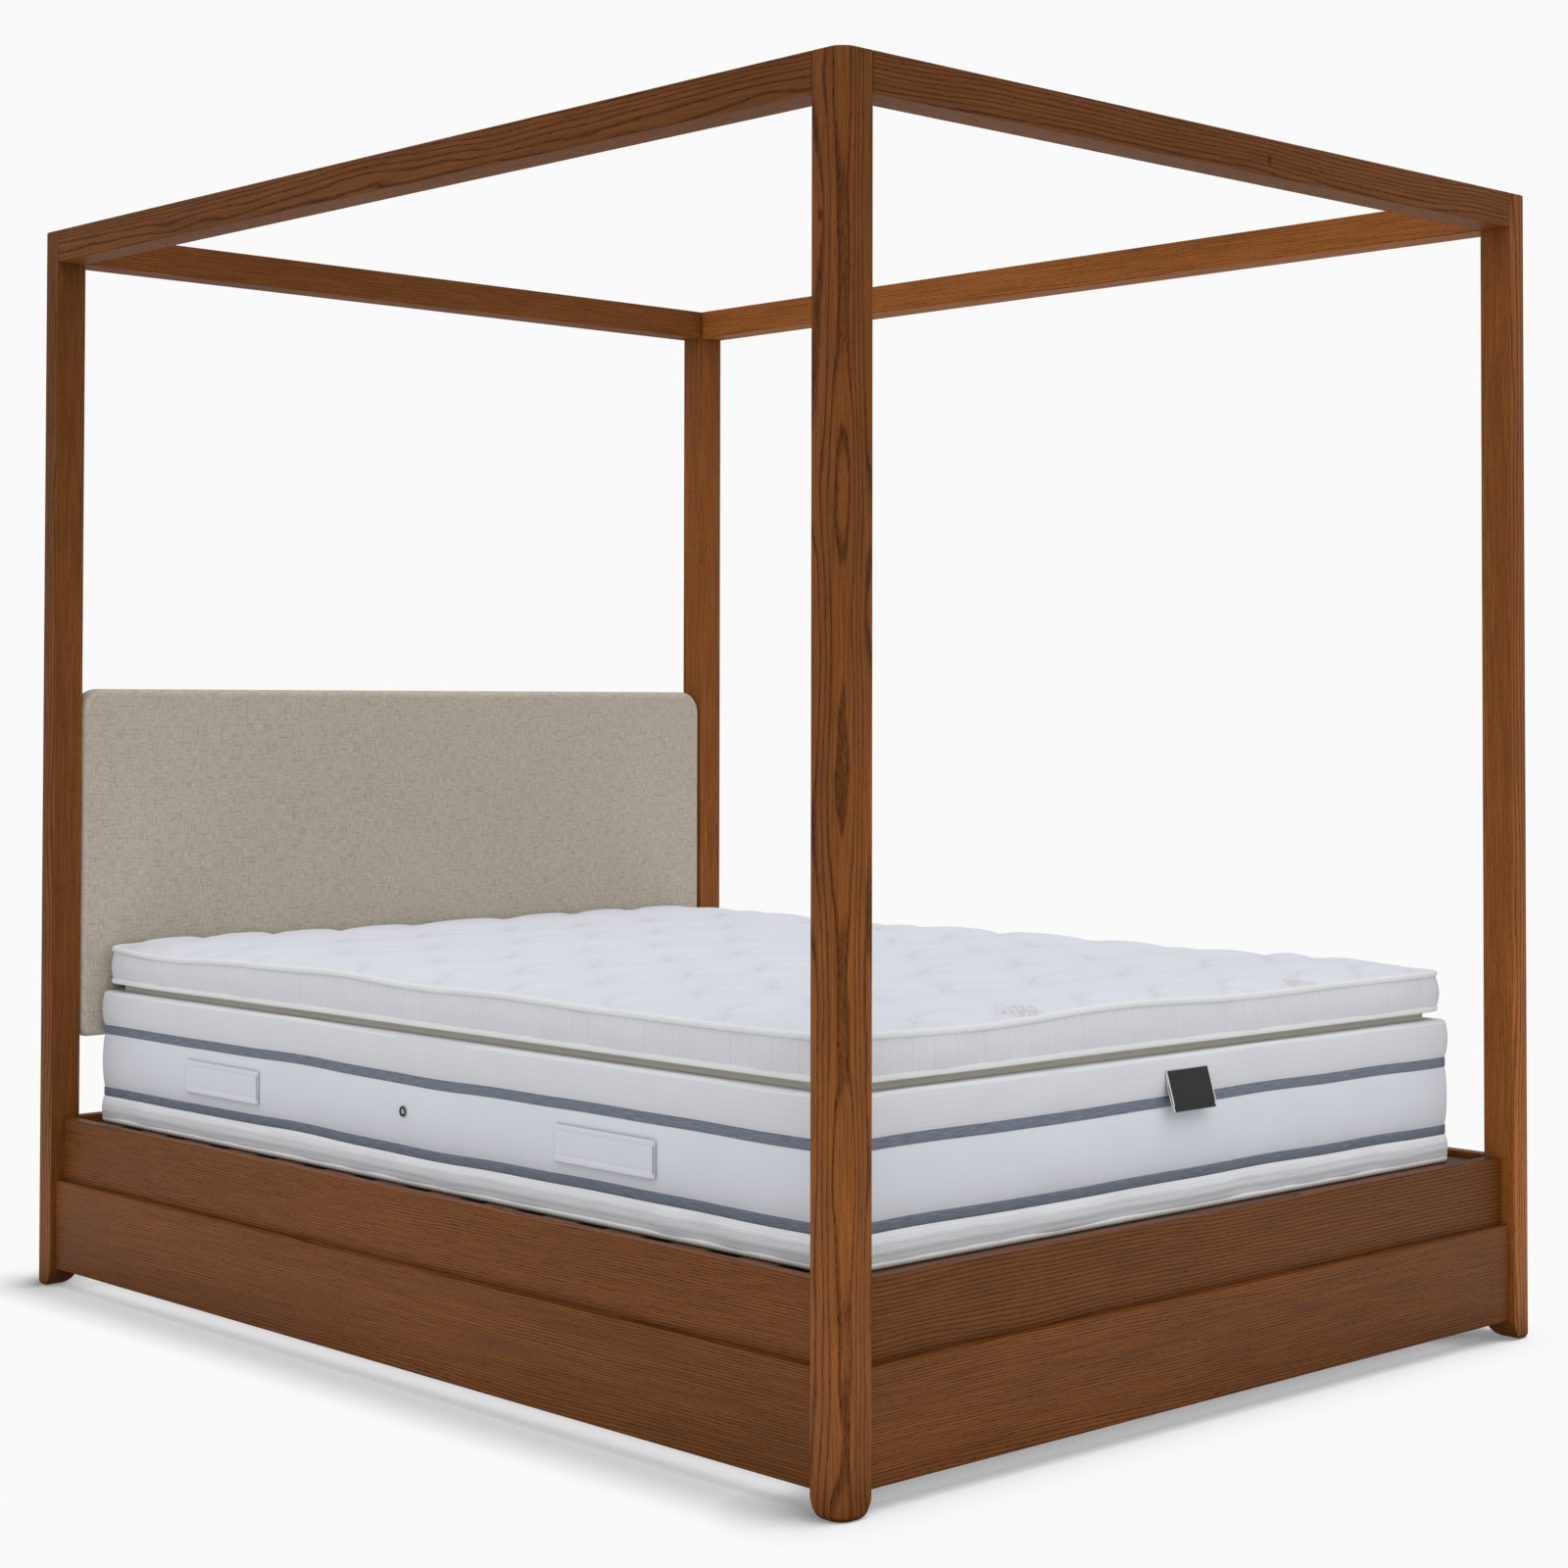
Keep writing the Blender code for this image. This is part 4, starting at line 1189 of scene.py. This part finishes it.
class CANOPYBED_OT_trim(Operator):
    """Make the mattress's handles, air vents and folded label"""

    bl_idname = "canopybed.trim"
    bl_label = "Make Mattress Trim"

    def execute(self, context):
        webbing = self.webbing(context.scene.canopy_bed_cloth.ticking)
        for side in ("left", "right"):
            for end in ("foot", "head"):
                self.handle("%s_%s_handle" % (side, end), webbing)
            self.vent(side + "_air_vent")
        self.label()
        return {"FINISHED"}

    def webbing(self, colour):
        """Ribbed white webbing, with a dark line of painted shade where the pocket opens at one end."""
        material = ribbed_knit("handle_webbing", colour, 0.0035, 0, 0.00015, 0.0, 0.985)
        tree, shader, woven = reopened(material)
        opening_shade = tree.field("opening_shade")
        # Painted shade: a dark line where the pocket opens
        tree.paint(shader, tree.mix(opening_shade, woven, solid((0.10, 0.10, 0.12))))
        return material

    def handle(self, node, webbing):
        """A flat pocket of webbing: folded hems, a plain middle and an opening at its foot end, with
        painted shade in it.
        """
        low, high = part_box(node)
        side = 1.0 if low[0] > 0 else -1.0
        half = half_of(low, high, (1, 2))
        middle = middle_of(low, high, (1, 2))
        face_x = min(abs(low[0]), abs(high[0]))

        def face(a, b, inward):
            """Hems that stand 0.8 mm over the middle, stitched furrows inside them and a lip at one end."""
            hem = 0.0008 / (1 + np.exp((half[1] - np.abs(b) - 0.0080) / 0.0010))
            furrow = 0.0007 * np.exp(-(((inward - 0.0105) / 0.0015) ** 2))
            lip = 0.0010 * np.exp(-np.maximum(a * side + half[0], 0.0) / 0.010)
            return 0.0014 + hem - furrow + lip + 0.0002 * ripple(a, b, 51, 0.06, 0.2)

        def rim(a, b, along):
            ends = np.array([0.0008, 0.0])
            return np.zeros((2, len(a))), np.repeat(ends[:, None], len(a), 1)

        def place(points):
            a, b, up = points.T
            return np.stack([side * (face_x + 0.0018 + up), middle[0] + side * a, middle[1] + b], axis=-1)

        made = pillow(node + "_webbing", half, (0.004, 0.004), 0.0022, rim, face, place)[0]
        y, z = coordinates(made)[1:]
        # A narrow band where the pocket opens, for its painted shade
        opening_shade = np.exp(-(((y - low[1] - 0.0030) / 0.0016) ** 2))
        inside = np.abs(z - middle[1]) < half[1] - 0.007
        put_field(made, "opening_shade", opening_shade * inside)
        dress(made, "mattress", "webbing", webbing)
        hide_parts(node)

    def vent(self, node):
        """A pressed ring turned from one rolled profile, with a gauze dome in it."""
        low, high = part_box(node)
        side = 1.0 if low[0] > 0 else -1.0
        middle = middle_of(low, high, (1, 2))
        radius = (high[1] - low[1]) / 2
        base = min(abs(low[0]), abs(high[0]))
        turn = np.linspace(0.0, math.pi, 9)
        reach = np.concatenate([[radius], radius - 0.0022 * (1 - np.cos(turn)), [radius * 0.42, 0.0004]])
        proud = np.concatenate([[0.0], 0.0016 + 0.0022 * np.sin(turn), [0.0014, 0.0022]])
        sides = 40
        angle = np.arange(sides) * math.tau / sides
        y = middle[0] + side * np.outer(np.cos(angle), reach)
        z = middle[1] + np.outer(np.sin(angle), reach)
        x = side * (base + 0.0016 + np.broadcast_to(proud, y.shape))
        ring = SimpleNamespace(along=angle * radius, total=math.tau * radius)
        climb = np.linspace(0.0, radius, len(reach))
        made = loft(node + "_ring", ring, np.stack([x, y, z], axis=-1), climb)
        dress(made, "mattress", "eyelet", bpy.data.materials.get("vent_nickel") or self.nickel(radius))
        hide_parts(node)

    def nickel(self, radius):
        """Nickel, blackened in its hollow: the map's height runs from the rim to the middle."""
        material = metal("vent_nickel", (0.55, 0.54, 0.49), 0.28, 1400.0)
        tree, shader, plated = reopened(material)
        climb = tree.parts(tree.place("UV"))[1]
        begins = tree.band(climb, 0.10 * radius, 0.20 * radius)
        ends = tree.band(climb, 0.78 * radius, 0.86 * radius, 1.0, 0.0)
        dark = tree.times(begins, ends)
        tree.paint(shader, tree.mix(dark, plated, solid((0.05, 0.045, 0.035))))
        return material

    def label(self):
        """A woven ribbon folded in two: sewn in at its top edges, its fold standing off the mattress."""
        low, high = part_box("mattress_label")
        wall = high[1] - 0.0035
        top = high[2]
        out = 0.017
        turn = np.linspace(-0.5, 0.5, 7) * math.pi
        fold_y = wall - out + 0.0022 * (1 - np.cos(turn))
        fold_z = low[2] + 0.0022 * np.sin(turn)
        front_y = np.linspace(wall, wall - out, 10)[:-1]
        front_z = np.linspace(top, low[2] + 0.003, 10)[:-1]
        y = np.concatenate([front_y, fold_y[::-1], [wall - 0.004, wall]])
        z = np.concatenate([front_z, fold_z[::-1], [top - 0.028, top - 0.004]])
        x = np.linspace(low[0], high[0], 25)
        rows = len(y)
        across, depth = np.meshgrid(x, y, indexing="ij")
        points = np.stack([across, depth, np.broadcast_to(z, (len(x), rows))], axis=-1)
        index = np.arange(len(x) * rows).reshape(len(x), rows)
        corners = [index[:-1, :-1], index[:-1, 1:], index[1:, 1:], index[1:, :-1]]
        quads = np.stack(corners, axis=-1).reshape(-1, 4)
        spread = np.concatenate([[0.0], np.cumsum(np.hypot(np.diff(y), np.diff(z)))])
        flat = np.stack(np.meshgrid(x - low[0], spread, indexing="ij"), axis=-1).reshape(-1, 2)
        made = put_mesh("mattress_label_ribbon", points, quads.tolist(), flat[quads].reshape(-1, 2))
        ribbon = made.modifiers.new("ribbon", "SOLIDIFY")
        ribbon.thickness = 0.0007
        ribbon.offset = 0.0
        black = (0.026, 0.026, 0.028)
        material, tree, shader, woven, source = cloth("label_ribbon", black, 1200.0, 0.2, 0.4, 0.6, 0.0)
        parts = tree.parts(source)
        half = (high[0] - low[0]) / 2
        centre = tree.math("ABSOLUTE", tree.math("SUBTRACT", parts[0], half))
        edge = tree.band(centre, half - 0.0030, half - 0.0022)
        shaded = tree.mix(edge, woven["Color"], solid((0.70, 0.70, 0.72)))
        tree.paint(shader, shaded)
        dress(made, "mattress", "label_cloth", material)
        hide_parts("mattress_label")


class CANOPYBED_OT_stage(Operator):
    """Set the pale floor, the soft light and the camera"""

    bl_idname = "canopybed.stage"
    bl_label = "Set Stage"

    def execute(self, context):
        stage = context.scene.canopy_bed_stage
        self.floor()
        self.light(stage)
        self.camera(stage)
        context.scene.view_settings.view_transform = "Standard"
        return {"FINISHED"}

    def floor(self):
        corners = FLOOR_REACH * np.array([(-1, -1, 0), (1, -1, 0), (1, 1, 0), (-1, 1, 0)], float)
        made = put_mesh("studio_floor", corners, [(0, 1, 2, 3)])
        made.data.materials.append(self.paper(CAD_BOX))

    def paper(self, box):
        """White paper that glows rather than being lit, with soft contact shadows painted in.

        What the camera sees is the backdrop's own brightness, less a painted shade where the bed closes
        over the floor and a deeper one under it. What the bed is lit by is a painted glow that is dim under
        it, brightest beside it and dimmer again further off.
        """
        material = bpy.data.materials.new("floor_paper")
        material.use_nodes = True
        tree = Tree(material.node_tree)
        tree.nodes.clear()
        hidden = {"Distance": CONTACT_REACH, "Normal": tree.vector("NORMALIZE", CONTACT_LEAN)}
        open_sky = tree.add("ShaderNodeAmbientOcclusion", hidden, samples=8).outputs["AO"]
        backdrop = bpy.context.scene.canopy_bed_stage.backdrop
        # Painted contact shadow: the ambient occlusion darkens the floor's glow where the bed closes over
        # it
        shade = tree.band(open_sky, 0.44, 0.99, 0.24, backdrop)
        place = tree.place()
        spread = tree.vector("ABSOLUTE", place)
        spread = tree.vector("SUBTRACT", spread, (box[1][0], box[1][1], 0.0))
        parts = tree.parts(spread)
        beyond = tree.math("MAXIMUM", parts[0], parts[1])
        # A deeper painted shade under the bed's footprint
        shade = tree.times(shade, tree.band(beyond, *UNDERSIDE, 0.05, 1.0))
        seen = tree.add("ShaderNodeEmission", {"Strength": shade}).outputs[0]
        # Painted bounce light: the floor glows, dim under the bed and bright beside it, for rays that are
        # not the camera's
        away = tree.length(tree.vector("MAXIMUM", spread, (0.0, 0.0, 0.0)))
        near = tree.band(away, *BOUNCE_NEAR, 0.12, 1.22)
        far = tree.band(away, *BOUNCE_FAR, 1.0, 0.24)
        lit = tree.add("ShaderNodeEmission", {"Strength": tree.times(near, far)}).outputs[0]
        camera = tree.add("ShaderNodeLightPath").outputs["Is Camera Ray"]
        both = tree.add("ShaderNodeMixShader", {0: camera, 1: lit, 2: seen}).outputs[0]
        tree.add("ShaderNodeOutputMaterial", {"Surface": both})
        return material

    def light(self, stage):
        """An even sky that shows as a plain backdrop, and a very wide soft light overhead."""
        world = bpy.data.worlds.new("studio_sky")
        bpy.context.scene.world = world
        world.use_nodes = True
        tree = Tree(world.node_tree)
        tree.nodes.clear()
        seen = tree.add("ShaderNodeLightPath").outputs["Is Camera Ray"]
        shown = tree.add("ShaderNodeBackground", {"Strength": stage.backdrop})
        lit = tree.add("ShaderNodeBackground", {"Strength": stage.sky})
        for node in (shown, lit):
            node.inputs["Color"].default_value = WHITE
        blended = tree.add("ShaderNodeMixShader", {0: seen, 1: lit.outputs[0], 2: shown.outputs[0]})
        tree.add("ShaderNodeOutputWorld", {"Surface": blended.outputs[0]})
        sun = bpy.data.lights.new("key_light", "SUN")
        sun.energy = stage.key
        sun.angle = math.radians(80)
        made = bpy.data.objects.new("key_light", sun)
        made.rotation_euler = (math.radians(16), 0.0, math.radians(-30))
        bpy.context.scene.collection.objects.link(made)

    def camera(self, stage):
        data = bpy.data.cameras.new("studio_camera")
        data.lens = stage.lens
        data.sensor_width = 36.0
        data.shift_x = stage.shift_x
        data.shift_y = stage.shift_y
        data.clip_end = 200.0
        made = bpy.data.objects.new("studio_camera", data)
        heading = Matrix.Rotation(-stage.azimuth, 4, "Z")
        tilt = Matrix.Rotation(math.pi / 2 + stage.pitch, 4, "X")
        turn = Matrix.Rotation(stage.roll, 4, "Z")
        made.matrix_world = Matrix.Translation(stage.camera_place) @ heading @ tilt @ turn
        bpy.context.scene.collection.objects.link(made)
        bpy.context.scene.camera = made


class CANOPYBED_PT_panel(Panel):
    """The bed's pieces and settings in the sidebar"""

    bl_label = "Canopy Bed"
    bl_idname = "CANOPYBED_PT_panel"
    bl_space_type = "VIEW_3D"
    bl_region_type = "UI"
    bl_category = "Canopy Bed"

    def draw(self, context):
        for title, settings in (
            ("Oak", context.scene.canopy_bed_oak),
            ("Cloth", context.scene.canopy_bed_cloth),
            ("Stage", context.scene.canopy_bed_stage),
        ):
            box = self.layout.box()
            box.label(text=title)
            for name in settings.__annotations__:
                box.prop(settings, name)
        for operator in OPERATORS:
            self.layout.operator(operator.bl_idname)


SETTINGS = {
    "canopy_bed_oak": CanopyBedOak,
    "canopy_bed_cloth": CanopyBedCloth,
    "canopy_bed_stage": CanopyBedStage,
}
OPERATORS = (
    CANOPYBED_OT_stage,
    CANOPYBED_OT_oak,
    CANOPYBED_OT_base,
    CANOPYBED_OT_headboard,
    CANOPYBED_OT_core,
    CANOPYBED_OT_neck,
    CANOPYBED_OT_topper,
    CANOPYBED_OT_trim,
)


def register():
    for group in SETTINGS.values():
        bpy.utils.register_class(group)
    for name, group in SETTINGS.items():
        setattr(bpy.types.Scene, name, PointerProperty(type=group))
    for operator in OPERATORS:
        bpy.utils.register_class(operator)
    bpy.utils.register_class(CANOPYBED_PT_panel)


def unregister():
    bpy.utils.unregister_class(CANOPYBED_PT_panel)
    for operator in reversed(OPERATORS):
        bpy.utils.unregister_class(operator)
    for name, group in SETTINGS.items():
        delattr(bpy.types.Scene, name)
        bpy.utils.unregister_class(group)


def main():
    register()
    for operator in OPERATORS:
        area, action = operator.bl_idname.split(".")
        getattr(getattr(bpy.ops, area), action)()


if __name__ == "__main__":
    main()
